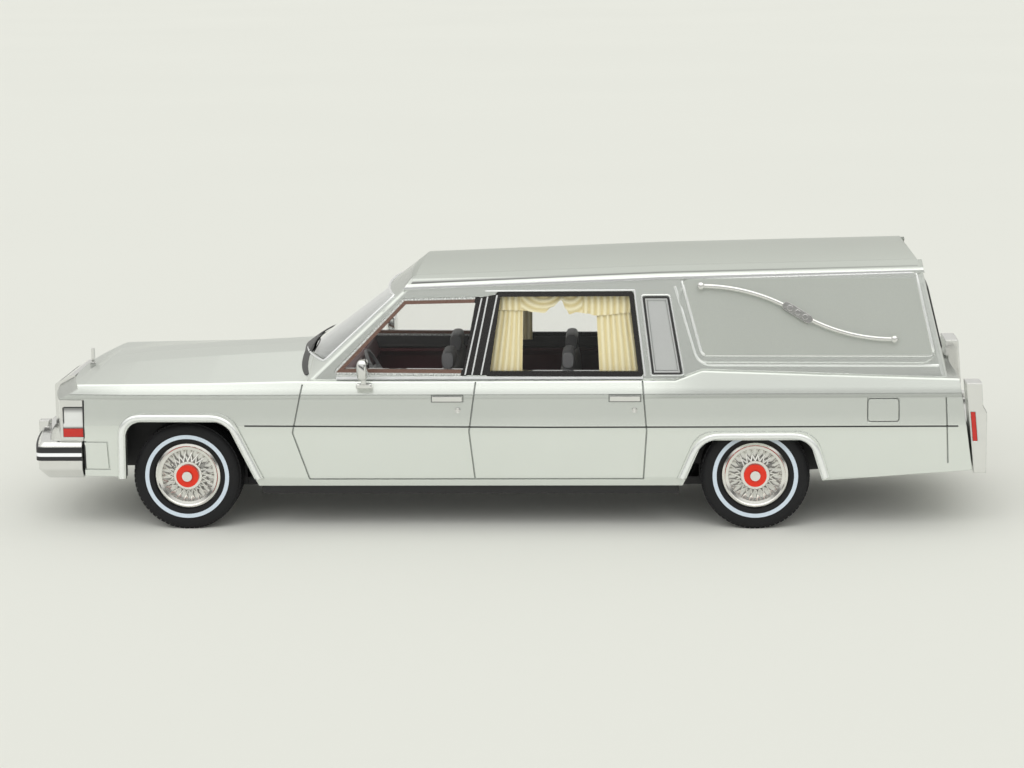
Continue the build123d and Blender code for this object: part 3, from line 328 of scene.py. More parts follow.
@dataclass(frozen=True)
class SilverLacquer:
    """The body's silver lacquer with its painted line, shut lines, satin pads and dark inside, painted shade
    on the roof slope, shoulder, upper side and rear quarter, and a band along the drip rail that is partly
    bright trim and partly painted highlight.

    Places are in millimetres. A line that rises or falls along the car is a pair of its height
    at X = 0 and its slope.
    """

    colour: Colour = screen_colour(224, 228, 224)
    pad_colour: Colour = screen_colour(201, 205, 200)
    edge_colour: Colour = (0.72, 0.72, 0.70)
    inside_colour: Colour = (0.04, 0.038, 0.038)
    # Colour of the band along the drip rail: partly its bright trim, partly a painted highlight.
    rail_trim_and_highlight_colour: Colour = (0.86, 0.87, 0.88)
    gap_colour: Colour = (0.12, 0.125, 0.13)
    mark_colour: Colour = (0.03, 0.03, 0.032)
    line_colour: Colour = (0.01, 0.01, 0.012)
    metal_share: float = 0.88
    flake_per_mm: float = 11.0
    line_z: float = 16.25
    line_width: float = 0.24
    door_lines: tuple = ((-29.6, 22.3, -31.1, -28.7), (-3.7, 22.6, -4.7, -3.9), (21.1, 22.7, 21.7, 21.2))
    door_foot_z: float = 8.05
    doors_middle_x: float = -3.75
    doors_half: float = 25.0
    fuel_door: tuple = ((56.6, 18.4), (2.3, 1.7))
    handles_x: tuple = (-7.9, 18.5)
    handle_z: float = 20.3
    handle_half: tuple = (2.35, 0.5)
    flank_y: float = 20.9
    drip: tuple = ((36.956, 0.0389), (36.907, 0.0351), (37.28, 0.0196))
    crown: tuple = ((39.6, 0.05), (39.424, 0.0365), (39.83, 0.0196))
    drip_depth: float = 1.35
    screen_half: float = 18.5
    skin_depth: float = 0.55
    crease_z: float = 20.3

    def marks(self, x: Field, y: Field, z: Field) -> Field:
        """1 in the dark gaps round the door handles."""
        gaps = [outline(x, z, (middle, self.handle_z), self.handle_half) for middle in self.handles_x]
        return reduce(Field.high, gaps) * y.over(self.flank_y)

    def inside(self, x: Field, y: Field, z: Field) -> Field:
        """1 on the faces inside the shell, which the model leaves dark."""
        across = y / self.screen_half
        bend = y / CABIN.cant_y
        crown = lowest(x, self.crown)
        roof = crown - (crown - lowest(x, self.drip) - self.drip_depth) * (bend * bend)
        screen = CABIN.screen_bow(across * across, z)
        walls = (CABIN.side(z) - y, x - screen, CABIN.tail_end(z) - x, roof - z)
        cabin = reduce(Field.low, walls).over(self.skin_depth, 0.1) * z.over(21.7)
        lower = z.near(15.6, 6.2) * (1.0 - y.over(20.7)) * x.within(-61.4, 66.9)
        return cabin.high(lower)

    def gaps(self, x: Field, y: Field, z: Field) -> Field:
        """1 in the doors' shut lines, the panel mark at the tail and the fuel door's edge."""
        lines = []
        for top_x, top_z, middle_x, foot_x in self.door_lines:
            middle_z = (top_z + self.door_foot_z) / 2
            upper = middle_x + (top_x - middle_x) / (top_z - middle_z) * (z - middle_z)
            lower = middle_x + (foot_x - middle_x) / (self.door_foot_z - middle_z) * (z - middle_z)
            line = upper.high(lower) if middle_x < foot_x else upper.low(lower)
            lines.append(x.near(line, SHUT_LINE) * z.near(middle_z, top_z - middle_z))
        lines.append(z.near(self.door_foot_z, SHUT_LINE) * x.near(self.doors_middle_x, self.doors_half))
        lines.append(x.near(66.0 + 0.04 * (15.0 - z), SHUT_LINE) * z.near(15.3, 4.9))
        lines.append(outline(x, z, *self.fuel_door))
        return reduce(Field.high, lines) * y.over(self.flank_y)

    def shadow(self, x: Field, y: Field, z: Field, rail_z: Field) -> Field:
        """Painted shade: the paint darkened on the roof slope, shoulder, upper side and rear quarter.

        Args:
            x: Place along the car.
            y: Distance from its middle.
            z: Height.
            rail_z: Height of the drip rail.

        Returns:
            A factor for the paint's colour, which paints the shade in.
        """
        slope = y.over(CABIN.cant_y - 0.1, 0.2) * z.over(rail_z + 0.25, 0.1)
        shoulder = z.within(self.crease_z - 0.1, 21.5, 0.1, 0.3)
        upper_side = z.within(16.3, self.crease_z, 1.5, 0.2)
        quarter = x.over(23.5, 1.5) * z.within(self.crease_z, 24.2, 0.1, 0.2) * y.over(20.0)
        return 1.04 - 0.3 * slope - 0.2 * shoulder - 0.15 * upper_side - 0.13 * quarter

    def build(self) -> bpy.types.Material:
        """Makes the material."""
        r = Recipe("silver_lacquer")
        x, across, z = r.place()
        y = abs(across)
        flake = r.noise(self.flake_per_mm, 1.0)
        cloud = r.noise(0.06)
        # The satin pad's ends lean with the rear panel; the roof over the drip rail is satin too.
        pad_front = 26.9 + (37.3 - z) * (3.0 / 11.0)
        pad_rear = 64.3 - (z - 26.1) * (2.7 / 12.1)
        pad = x.within(pad_front, pad_rear) * z.within(26.2, 37.4) * y.over(15.9)
        roof = z.over(37.6 + 0.02 * x) * x.over(-14.0)
        satin = pad.high(roof)
        inside = self.inside(x, y, z)
        # The painted line sinks a little from the nose to the rear wheel, and ends at both bumpers.
        stripe_z = self.line_z - 0.006 * (x + 38.0).high(0.0).low(45.0)
        stripe = z.near(stripe_z, self.line_width / 2, 0.03) * y.over(21.2) * x.within(-38.3, 67.6)
        rail_z = lowest(x, self.drip)
        # Along the drip rail the paint is lighter and glossier: partly the rail's bright trim, partly a
        # painted highlight.
        rail = z.near(rail_z - 0.25, 0.22) * y.over(16.2) * x.within(-14.5, 61.0)
        gaps = self.gaps(x, y, z)
        # The paint takes the painted shade of the roof slope, shoulder, upper side and rear quarter.
        paint = r.shade(r.mix(satin, self.colour, self.pad_colour), self.shadow(x, y, z, rail_z))
        paint = r.shade(paint, 0.89 + 0.16 * flake + 0.06 * cloud)
        layers = (
            (rail, self.rail_trim_and_highlight_colour),
            (gaps * 0.3, self.gap_colour),
            (self.marks(x, y, z) * 0.75, self.mark_colour),
            (stripe, self.line_colour),
            (inside, self.inside_colour),
        )
        for share, colour in layers:
            paint = r.mix(share, paint, colour)
        bonnet = (1.0 - x.over(-29.0)) * z.over(21.9, 0.3)
        r.surface(flake * 0.03 - gaps, 0.08, 0.14)
        return r.finish(
            base_color=paint,
            metallic=self.metal_share - self.metal_share * stripe.high(inside),
            roughness=0.22 + 0.18 * satin + 0.12 * bonnet + 0.06 * flake - 0.08 * rail + 0.3 * inside,
            specular_tint=self.edge_colour,
            coat_weight=0.25 - 0.15 * satin.high(inside),
            coat_roughness=0.05,
        )


@dataclass(frozen=True)
class PlainSilver:
    """Silver lacquer on a small piece that has no marks."""

    name: str = "plain_silver"
    colour: Colour = screen_colour(216, 218, 218)

    def build(self) -> bpy.types.Material:
        """Makes the material."""
        r = Recipe(self.name)
        flake = r.noise(SilverLacquer.flake_per_mm, 1.0)
        r.surface(flake, 0.003, 0.08)
        return r.finish(
            base_color=r.shade(self.colour, 0.94 + 0.1 * flake),
            metallic=SilverLacquer.metal_share,
            roughness=0.38 + 0.06 * flake,
            specular_tint=SilverLacquer.edge_colour,
            coat_weight=0.25,
            coat_roughness=0.05,
        )


@dataclass(frozen=True)
class Plating:
    """Vacuum-plated chrome, with a faint wave in it and a rounded look to its edges."""

    name: str = "plated_chrome"
    colour: Colour = (0.80, 0.80, 0.79)
    roughness: float = 0.07
    rounding: float = 0.1
    metallic: float = 1.0
    recess_shade_colour: Colour = (0.012, 0.012, 0.012)
    shadow: Callable[[Field, Field, Field], Field] | None = None

    def build(self) -> bpy.types.Material:
        """Makes the material, with painted shade in its recesses, darker, less metallic and rougher, where a
        shadow field is given.
        """
        r = Recipe(self.name)
        cloud = r.noise(0.7)
        grain = r.noise(4.0)
        colour: object = r.shade(self.colour, 0.94 + 0.1 * cloud)
        metallic: object = self.metallic
        rough: object = self.roughness + 0.07 * grain
        if self.shadow is not None:
            # Painted shade in the recesses: darker, less metallic and rougher.
            dark = self.shadow(*r.place())
            colour = r.mix(dark, colour, self.recess_shade_colour)
            metallic = self.metallic - 0.9 * dark
            rough = rough + 0.35 * dark
        r.surface(cloud, 0.012, self.rounding)
        return r.finish(base_color=colour, metallic=metallic, roughness=rough)


@dataclass(frozen=True)
class MouldedPlastic:
    """Plain moulded plastic: fine grain, a few shade clouds and slightly worn edges."""

    name: str
    colour: Colour
    roughness: float = 0.5
    grain_per_mm: float = 3.0
    relief: float = 0.02
    rounding: float = 0.1
    coat: float = 0.0

    def build(self) -> bpy.types.Material:
        """Makes the material."""
        r = Recipe(self.name)
        grain = r.noise(self.grain_per_mm, 3.0)
        cloud = r.noise(0.12)
        r.surface(grain, self.relief, self.rounding)
        return r.finish(
            base_color=r.shade(self.colour, 0.82 + 0.22 * grain + 0.14 * cloud),
            roughness=self.roughness - 0.08 + 0.16 * grain,
            coat_weight=self.coat,
            coat_roughness=0.08,
        )


@dataclass(frozen=True)
class Glazing:
    """Thin clear glazing: see-through, with its shine growing towards the edges of the view."""

    name: str = "clear_glazing"
    tint: Colour = (0.95, 0.97, 0.97)
    clear_share: float = 0.06
    shine_share: float = 2.0

    def build(self) -> bpy.types.Material:
        """Makes the material."""
        r = Recipe(self.name)
        slant = r.node("ShaderNodeLayerWeight", {}, {"Blend": 0.5}, "Facing")
        shine = slant.maths("POWER", slant, 5.0) * 0.96 + 0.04
        smear = r.noise(0.25)
        return r.finish(
            base_color=self.tint,
            metallic=1.0,
            roughness=0.02 + 0.03 * smear,
            alpha=(shine * self.shine_share - self.clear_share + 0.02 * smear).clamp(),
        )


@dataclass(frozen=True)
class LampGlass:
    """A clear ribbed lens over a bright reflector, with painted light and shade across its ribs and painted
    shade above and below a band of height.
    """

    name: str
    colour: Colour
    ribs_per_mm: float = 2.2
    metallic: float = 0.55
    # Heights of the band that the painted shade leaves out.
    unshaded_from: float = 0.0
    unshaded_to: float = 60.0

    def build(self) -> bpy.types.Material:
        """Makes the material."""
        r = Recipe(self.name)
        _, y, z = r.place()
        ribs = y.maths("SINE", y * (self.ribs_per_mm * math.tau)) * 0.5 + 0.5
        bars = z.maths("SINE", z * math.tau) * 0.5 + 0.5
        # Painted shade on the lens above and below that band, where the bezel shades it, and painted light
        # and shade across the ribs.
        clear = z.within(self.unshaded_from, self.unshaded_to, 0.12, 0.3)
        r.surface(ribs * 0.7 + bars * 0.3, 0.08, 0.06)
        return r.finish(
            base_color=r.shade(self.colour, (0.75 + 0.25 * ribs) * (0.3 + 0.7 * clear)),
            metallic=self.metallic,
            roughness=0.1 + 0.08 * bars,
            coat_weight=1.0,
            coat_roughness=0.02,
        )


@dataclass(frozen=True)
class PleatedCream:
    """Moulded drapes painted cream: a fine weave and shaded folds."""

    colour: Colour = screen_colour(230, 223, 190)
    # Darker colour painted into the folds' hollows as shade.
    fold_shade_colour: Colour = screen_colour(202, 187, 138)

    def build(self) -> bpy.types.Material:
        """Makes the material from the pieces' own fold attribute."""
        r = Recipe("pleated_cream")
        fold = r.node("ShaderNodeAttribute", {"attribute_name": "fold"}, {}, "Fac")
        weave = r.noise(9.0, 1.0)
        r.surface(weave, 0.01)
        return r.finish(
            # The hollows of the folds take the darker colour: painted shade.
            base_color=r.shade(r.mix(fold, self.fold_shade_colour, self.colour), 0.94 + 0.1 * weave),
            roughness=0.72 + 0.1 * weave,
            sheen_weight=0.25,
        )


@dataclass(frozen=True)
class FramePrint:
    """Glossy printed window frames: brown at the front door, black at the pillar and the rear door."""

    brown: Colour = screen_colour(98, 74, 64)
    black: Colour = (0.012, 0.011, 0.011)
    silver: Colour = screen_colour(212, 215, 212)
    corners: tuple = ((-25.6, 23.5), (-14.6, 34.7), (-2.7, 34.9), (-4.9, 23.3))
    lip: float = 0.36
    pillar_x: float = -6.05
    pillar_z: float = 23.3
    pillar_slope: float = 2.2 / 11.4

    def depth(self, x: Field, z: Field) -> Field:
        """How far a point lies inside the front window's outline."""
        depths = []
        for (x0, z0), (x1, z1) in zip(self.corners, (*self.corners[1:], self.corners[0])):
            run, rise = x1 - x0, z1 - z0
            length = math.hypot(run, rise)
            depths.append((x - x0) * (rise / length) - (z - z0) * (run / length))
        return reduce(Field.low, depths)

    def build(self) -> bpy.types.Material:
        """Makes the material."""
        r = Recipe("frame_print")
        x, _, z = r.place()
        front = 1.0 - x.over(self.pillar_x + (z - self.pillar_z) * self.pillar_slope)
        grain = r.noise(5.0)
        lip = front * (1.0 - self.depth(x, z).over(self.lip))
        print_colour = r.mix(lip, r.mix(front, self.black, self.brown), self.silver)
        r.surface(grain, 0.0015)
        return r.finish(
            base_color=r.shade(print_colour, 0.9 + 0.2 * grain),
            metallic=0.6 * lip,
            roughness=0.22 + 0.1 * grain,
            coat_weight=0.4,
            coat_roughness=0.05,
        )


@dataclass(frozen=True)
class RubStripPrint:
    """Black rubber strip with a thin white line along its middle."""

    line_z: float = 11.8
    half_width: float = 0.27
    line_colour: Colour = (0.75, 0.76, 0.77)
    rubber_colour: Colour = (0.02, 0.02, 0.021)

    def build(self) -> bpy.types.Material:
        """Makes the material."""
        r = Recipe("rub_strip")
        _, _, z = r.place()
        line = z.near(self.line_z, self.half_width, 0.03)
        grain = r.noise(4.0)
        r.surface(grain, 0.015, 0.08)
        return r.finish(
            base_color=r.mix(line, r.shade(self.rubber_colour, 0.8 + 0.4 * grain), self.line_colour),
            roughness=0.45 + 0.15 * grain - 0.15 * line,
        )


@dataclass(frozen=True)
class TyreRubber:
    """Soft tyre rubber with fine moulding rings."""

    colour: Colour = (0.0085, 0.0085, 0.0092)

    def build(self) -> bpy.types.Material:
        """Makes the material."""
        r = Recipe("soft_tyre_rubber")
        grain = r.noise(3.0, 3.0)
        dust = r.noise(0.25, 3.0)
        r.surface(grain, 0.02)
        return r.finish(
            base_color=r.shade(self.colour, 0.8 + 0.4 * grain + 0.4 * dust),
            roughness=0.6 + 0.2 * grain,
            specular_ior_level=0.3,
        )


def grille_recess(x: Field, y: Field, z: Field) -> Field:
    """Painted shade on the floor of the grille's cells."""
    return x.within(-69.45, -68.9, 0.1) * (1.0 - abs(y).over(7.0)) * z.within(14.4, 21.3)


def cover_recess(x: Field, y: Field, z: Field) -> Field:
    """A light shade over the bowl of the wheel covers."""
    return abs(y).within(16.5, 19.2, fall=0.25) * 0.12


class Workshop:
    """Holds the finishes and makes pieces from meshes."""

    def __init__(self, frame: dict) -> None:
        """Builds every finish once.
        """
        self.frame = frame
        recipes = (
            MouldedPlastic("base_plastic", (0.014, 0.014, 0.015), 0.5, 2.5, 0.03),
            MouldedPlastic("seat_plastic", (0.11, 0.11, 0.112), 0.5, 4.0, 0.03),
            MouldedPlastic("trim_burgundy", (0.05, 0.008, 0.012), 0.5, 4.0, 0.03),
            MouldedPlastic("deck_plastic", (0.035, 0.018, 0.012), 0.42, 2.0, 0.03),
            MouldedPlastic("black_gasket", (0.022, 0.022, 0.022), 0.4, 5.0, 0.01, 0.05),
            MouldedPlastic("whitewall", screen_colour(184, 195, 205), 0.4, 4.0, 0.01, 0.0),
            MouldedPlastic("orange_enamel", screen_colour(200, 36, 6), 0.35, 5.0, 0.008, 0.04, 0.05),
            MouldedPlastic("tinted_red", screen_colour(172, 24, 14), 0.15, 3.0, 0.02, 0.05, 0.4),
            MouldedPlastic("turned_steel", (0.35, 0.35, 0.36), 0.35, 2.0, 0.01),
            Plating(),
            Plating("grille_chrome", shadow=grille_recess, rounding=0.05),
            Plating("cover_chrome", (0.88, 0.87, 0.84), 0.12, 0.05, shadow=cover_recess),
            Plating("soft_chrome", (0.82, 0.82, 0.81), 0.1, 0.3),
            Plating("bright_foil", (0.84, 0.85, 0.86), 0.2, 0.06, 0.6),
            Plating("rolled_silver", (0.86, 0.88, 0.87), 0.2, 0.0, 0.7),
            Glazing(),
            LampGlass("ribbed_lamp_glass", (0.72, 0.74, 0.75)),
            LampGlass("corner_glass", (0.80, 0.81, 0.80), 1.4, 0.4, 15.95, 18.35),
            FramePrint(),
            RubStripPrint(),
            TyreRubber(),
            PleatedCream(),
            PlainSilver(),
            SilverLacquer(),
        )
        self.finish = {material.name: material for material in (recipe.build() for recipe in recipes)}

    def dress(self, finish: str, *nodes: str) -> None:
        """Gives frame nodes one finish."""
        for node in nodes:
            materials = self.frame["nodes"][node].data.materials
            materials.clear()
            materials.append(self.finish[finish])

    def piece(
        self,
        name: str,
        mesh: bpy.types.Mesh,
        body: str,
        slot: str,
        finishes: Sequence[str] = (),
        replaces: Sequence[str] = (),
        sharp_deg: float = 40.0,
    ) -> None:
        """Puts a mesh into the scene as a piece that rides on a body.

        Args:
            name: The piece's name.
            mesh: Its mesh, in metres in the car's frame.
            body: The frame's body that it moves with.
            slot: The record's material slot; not used.
            finishes: Names of its finishes, in the mesh's own slot order.
            replaces: Frame nodes that it stands for.
            sharp_deg: Angle over which an edge is shown sharp.
        """
        mesh.name = name
        obj = bpy.data.objects.new(name, mesh)
        bpy.context.scene.collection.objects.link(obj)
        for finish in finishes:
            mesh.materials.append(self.finish[finish])
        for polygon in mesh.polygons:
            polygon.use_smooth = True
        mesh.set_sharp_from_angle(angle=math.radians(sharp_deg))
        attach(obj, body)
        if replaces:
            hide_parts(*replaces)
        LOG.info("piece %s: %d faces on %s", name, len(mesh.polygons), body)


def circle(steps: int) -> list[tuple[float, float]]:
    """Cosine and sine of equal steps round a circle."""
    return [(math.cos(math.tau * i / steps), math.sin(math.tau * i / steps)) for i in range(steps)]


class Weave:
    """Collects points and faces of one mesh, in millimetres."""

    def __init__(self) -> None:
        """Starts with nothing."""
        self.points: list[Point] = []
        self.folds: list[float] = []
        self.faces: list[tuple[int, ...]] = []
        self.slots: list[int] = []

    def fill(self, ring: Sequence[int], slot: int = 0) -> None:
        """Closes a ring of points with one face."""
        self.faces.append(tuple(ring))
        self.slots.append(slot)

    def band(self, low: Sequence[int], high: Sequence[int], closed: bool = True, slot: int = 0) -> None:
        """Adds the faces between two rows of point numbers.

        Args:
            low: The first row.
            high: The second row, as long as the first.
            closed: Whether the last point of a row joins its first.
            slot: The faces' material.
        """
        for i in range(len(low) if closed else len(low) - 1):
            j = (i + 1) % len(low)
            self.fill((low[i], low[j], high[j], high[i]), slot)

    def row(self, points: Sequence[Point]) -> list[int]:
        """Adds a row of points and returns their numbers."""
        self.points.extend(points)
        return list(range(len(self.points) - len(points), len(self.points)))

    def grid(self, rows: Sequence[Sequence[Point]], closed: bool = False) -> list[list[int]]:
        """Adds rows of points with faces between them, and returns the point numbers, row by row."""
        numbers = [self.row(points) for points in rows]
        for low, high in zip(numbers, numbers[1:]):
            self.band(low, high, closed)
        return numbers

    def ring_tube(self, rings: Sequence[Sequence[Point]]) -> None:
        """Adds closed rings joined into a tube with both ends filled."""
        numbers = self.grid(rings, closed=True)
        self.fill(numbers[0])
        self.fill(numbers[-1])

    def mesh(self, name: str) -> bpy.types.Mesh:
        """Makes the mesh, in metres, with its faces pointing out.

        Args:
            name: The mesh's name.

        Returns:
            The mesh, with the points' fold values where they were noted.
        """
        mesh = bpy.data.meshes.new(name)
        mesh.from_pydata([tuple(v * MM for v in point) for point in self.points], [], self.faces)
        mesh.polygons.foreach_set("material_index", self.slots)
        if self.folds:
            mesh.attributes.new("fold", "FLOAT", "POINT").data.foreach_set("value", self.folds)
        work = bmesh.new()
        work.from_mesh(mesh)
        if not self.folds:
            bmesh.ops.remove_doubles(work, verts=work.verts, dist=1e-7)
        bmesh.ops.recalc_face_normals(work, faces=work.faces)
        work.to_mesh(mesh)
        work.free()
        return mesh


class GeometryTree(Nodes):
    """A Geometry Nodes tree being put together."""

    def __init__(self, name: str, **inputs: str) -> None:
        """Starts a tree with named inputs after its geometry.

        Args:
            name: The tree's name.
            inputs: Kind of each input, by its name.
        """
        super().__init__(bpy.data.node_groups.new(name, "GeometryNodeTree"))
        face = self.tree.interface
        face.new_socket("Geometry", in_out="INPUT", socket_type="NodeSocketGeometry")
        self.names = {
            label: face.new_socket(label, in_out="INPUT", socket_type="NodeSocket" + kind)
            for label, kind in inputs.items()
        }
        face.new_socket("Geometry", in_out="OUTPUT", socket_type="NodeSocketGeometry")
        self.source = self.tree.nodes.new("NodeGroupInput")
        self.output = self.tree.nodes.new("NodeGroupOutput")

    def given(self, label: str) -> Field:
        """A named input."""
        return Field(self.tree, self.source.outputs[label])

    def close(self, geometry: Field) -> None:
        """Ends the tree in Realize Instances and Set Material."""
        real = self.node("GeometryNodeRealizeInstances", {}, {0: geometry})
        inputs = {"Geometry": real, "Material": self.given("Material")}
        plug(self.tree, self.node("GeometryNodeSetMaterial", {}, inputs), self.output.inputs[0])

    def run(self, mesh: bpy.types.Mesh, **values: object) -> bpy.types.Mesh:
        """Runs the tree on a mesh.

        Args:
            mesh: The source mesh, in metres.
            values: The inputs' values, by name.

        Returns:
            The result as a plain mesh.
        """
        carrier = bpy.data.objects.new("carrier", mesh)
        bpy.context.scene.collection.objects.link(carrier)
        modifier = carrier.modifiers.new("rule", "NODES")
        modifier.node_group = self.tree
        for label, value in values.items():
            modifier[self.names[label].identifier] = value
        graph = bpy.context.evaluated_depsgraph_get()
        made = bpy.data.meshes.new_from_object(carrier.evaluated_get(graph))
        bpy.data.objects.remove(carrier)
        return made


def line_mesh(name: str, lines: Sequence[Sequence[Point]]) -> bpy.types.Mesh:
    """A mesh of bare edges along lines of points in millimetres."""
    points: list[Point] = []
    edges: list[tuple[int, int]] = []
    for line in lines:
        start = len(points)
        points.extend(tuple(v * MM for v in p) for p in line)
        edges.extend((start + i, start + i + 1) for i in range(len(line) - 1))
    mesh = bpy.data.meshes.new(name)
    mesh.from_pydata(points, edges, [])
    return mesh


def round_path(
    corners: Sequence[tuple[float, float]], radius: float, steps: int = 8
) -> list[tuple[float, float]]:
    """Rounds a path's inner corners and splits its long runs.

    Args:
        corners: The path's corners in the side view.
        radius: Length taken off the runs at each corner.
        steps: Points of each corner.

    Returns:
        The points of the rounded path.
    """
    path = [Vector(corner) for corner in corners]
    points = [path[0]]
    for before, here, after in zip(path, path[1:], path[2:]):
        start = here + (before - here).normalized() * radius
        end = here + (after - here).normalized() * radius
        for k in range(steps + 1):
            t = k / steps
            points.append(start * (1 - t) ** 2 + here * 2 * t * (1 - t) + end * t * t)
    points.append(path[-1])
    dense = []
    for low, high in zip(points, points[1:]):
        parts = max(1, round((high - low).length))
        dense.extend(low.lerp(high, i / parts) for i in range(parts))
    return [tuple(point) for point in (*dense, points[-1])]


class Skin:
    """The car body's outer surface, for trim that is laid on it."""

    def __init__(self, frame: dict, *nodes: str) -> None:
        """Reads the surfaces of some frame nodes.

        Args:
            nodes: The nodes' names.
        """
        self.trees = []
        for node in nodes:
            mesh = frame["nodes"][node].data
            points = [tuple(vertex.co) for vertex in mesh.vertices]
            faces = [tuple(face.vertices) for face in mesh.polygons]
            self.trees.append(BVHTree.FromPolygons(points, faces))

    def on(self, x: float, z: float, side: Side, out: float = 0.0) -> Point:
        """The outermost point at a place of the side view, moved outwards by out."""
        start = Vector((x, side.value * 40.0, z)) * MM
        hits = [tree.ray_cast(start, Vector((0.0, -side.value, 0.0)))[0] for tree in self.trees]
        reach = max(abs(hit.y) for hit in hits if hit is not None) / MM
        return (x, side.value * (reach + out), z)


def bead_tree() -> GeometryTree:
    """A round bead that follows lines."""
    tree = GeometryTree("bead_along_line", Radius="Float", Sides="Int", Material="Material")
    curve = tree.node("GeometryNodeMeshToCurve", {}, {0: tree.given("Geometry")})
    inputs = {"Resolution": tree.given("Sides"), "Radius": tree.given("Radius")}
    ring = tree.node("GeometryNodeCurvePrimitiveCircle", {}, inputs)
    inputs = {"Curve": curve, "Profile Curve": ring, "Fill Caps": True}
    tree.close(tree.node("GeometryNodeCurveToMesh", {}, inputs))
    return tree


def lug_tree() -> GeometryTree:
    """Tread lugs that stand on circles about the car's cross axis, one circle at each given point."""
    tree = GeometryTree("tread_lugs", Lugs="Int", Radius="Float", Size="Vector", Material="Material")
    inputs = {"Vertices": tree.given("Lugs"), "Radius": tree.given("Radius")}
    points = tree.node("GeometryNodeMeshCircle", {}, inputs)
    lug = tree.node("GeometryNodeMeshCube", {}, {"Size": tree.given("Size")})
    place = tree.node("GeometryNodeInputPosition", {}, {})
    turn = tree.node("FunctionNodeAlignRotationToVector", {"axis": "X"}, {"Vector": place})
    inputs = {"Points": points, "Instance": lug, "Rotation": turn}
    ring = tree.node("GeometryNodeInstanceOnPoints", {}, inputs)
    upright = (math.radians(90), 0.0, 0.0)
    inputs = {"Points": tree.given("Geometry"), "Instance": ring, "Rotation": upright}
    tree.close(tree.node("GeometryNodeInstanceOnPoints", {}, inputs))
    return tree


@dataclass
class Wheels:
    """The tyres with their whitewalls and tread lugs, and the wheel covers' finishes.

    The tyre's profile is rows of radius, distance out from the hub's inner face, and 1 on
    the whitewall.
    """

    shop: Workshop
    centre_z: float = 8.15
    hub_y: float = 15.4
    radius: float = 8.15
    segments: int = 96
    lugs: int = 66
    lug_size: tuple = (0.5, 0.6, 0.75)
    lug_rows: tuple = (0.95, 4.25)
    lug_play: float = 0.01
    profile: tuple = (
        (5.0, 4.50, 0), (5.12, 4.82, 0), (5.4, 5.02, 0), (5.72, 5.1, 0), (5.76, 5.16, 1), (6.36, 5.19, 1),
        (6.4, 5.14, 0), (6.9, 5.16, 0), (7.3, 5.12, 0), (7.66, 4.98, 0), (7.92, 4.72, 0), (8.05, 4.3, 0),
        (8.06, 3.55, 0), (7.8, 3.5, 0), (7.8, 3.3, 0), (8.05, 3.25, 0), (8.05, 2.75, 0), (7.85, 2.7, 0),
        (7.85, 2.5, 0), (8.05, 2.45, 0), (8.05, 1.95, 0), (7.8, 1.9, 0), (7.8, 1.7, 0), (8.06, 1.65, 0),
        (8.05, 0.9, 0), (7.92, 0.48, 0), (7.66, 0.22, 0), (6.9, 0.04, 0), (5.4, 0.18, 0), (5.0, 0.7, 0),
    )

    def tyre(self, axle: Axle, side: Side) -> None:
        """Makes one tyre."""
        weave = Weave()
        turns = circle(self.segments)
        rings = []
        for radius, height, _ in self.profile:
            y = side.value * (self.hub_y + height)
            ring = [(axle.value + radius * c, y, self.centre_z + radius * s) for c, s in turns]
            rings.append(weave.row(ring))
        for k, low in enumerate(rings):
            after = (k + 1) % len(rings)
            white = self.profile[k][2] * self.profile[after][2]
            weave.band(low, rings[after], slot=white)
        name = f"{axle.name}_tyre_{side.name}".lower()
        mesh = weave.mesh(name)
        finishes = ("soft_tyre_rubber", "whitewall")
        self.shop.piece(name + "_shell", mesh, axle.body, "tyre_rubber", finishes, (name,), 30.0)

    def tread(self, axle: Axle, tree: GeometryTree) -> None:
        """Makes the lugs of one axle's tyres, in one piece."""
        rows = bpy.data.meshes.new("lug_rows")
        heights = [side.value * (self.hub_y + height) for side in Side for height in self.lug_rows]
        rows.from_pydata([(axle.value * MM, y * MM, self.centre_z * MM) for y in heights], [], [])
        reach = math.hypot(self.radius, self.lug_size[1] / 2) - self.radius
        mesh = tree.run(
            rows,
            Lugs=self.lugs,
            Radius=(self.radius - self.lug_play - reach - self.lug_size[0] / 2) * MM,
            Size=tuple(v * MM for v in self.lug_size),
            Material=self.shop.finish["soft_tyre_rubber"],
        )
        self.shop.piece(f"{axle.name.lower()}_tread_lugs", mesh, axle.body, "tyre_rubber")

    def build(self) -> None:
        """Makes all tyres and dresses the covers, discs and axles."""
        tree = lug_tree()
        for axle in Axle:
            place = axle.name.lower()
            self.tread(axle, tree)
            for side in Side:
                self.tyre(axle, side)
                self.shop.dress("cover_chrome", f"{place}_wheel_cover_{side.name.lower()}")
                self.shop.dress("orange_enamel", f"{place}_centre_disc_{side.name.lower()}")
            self.shop.dress("turned_steel", f"{place}_axle")


def rim(layer: Sequence[Sequence[int]]) -> list[int]:
    """The point numbers round the edge of a grid."""
    first, last = list(layer[0]), list(layer[-1])
    return first + [row[-1] for row in layer[1:]] + last[-2::-1] + [row[0] for row in layer[-2:0:-1]]


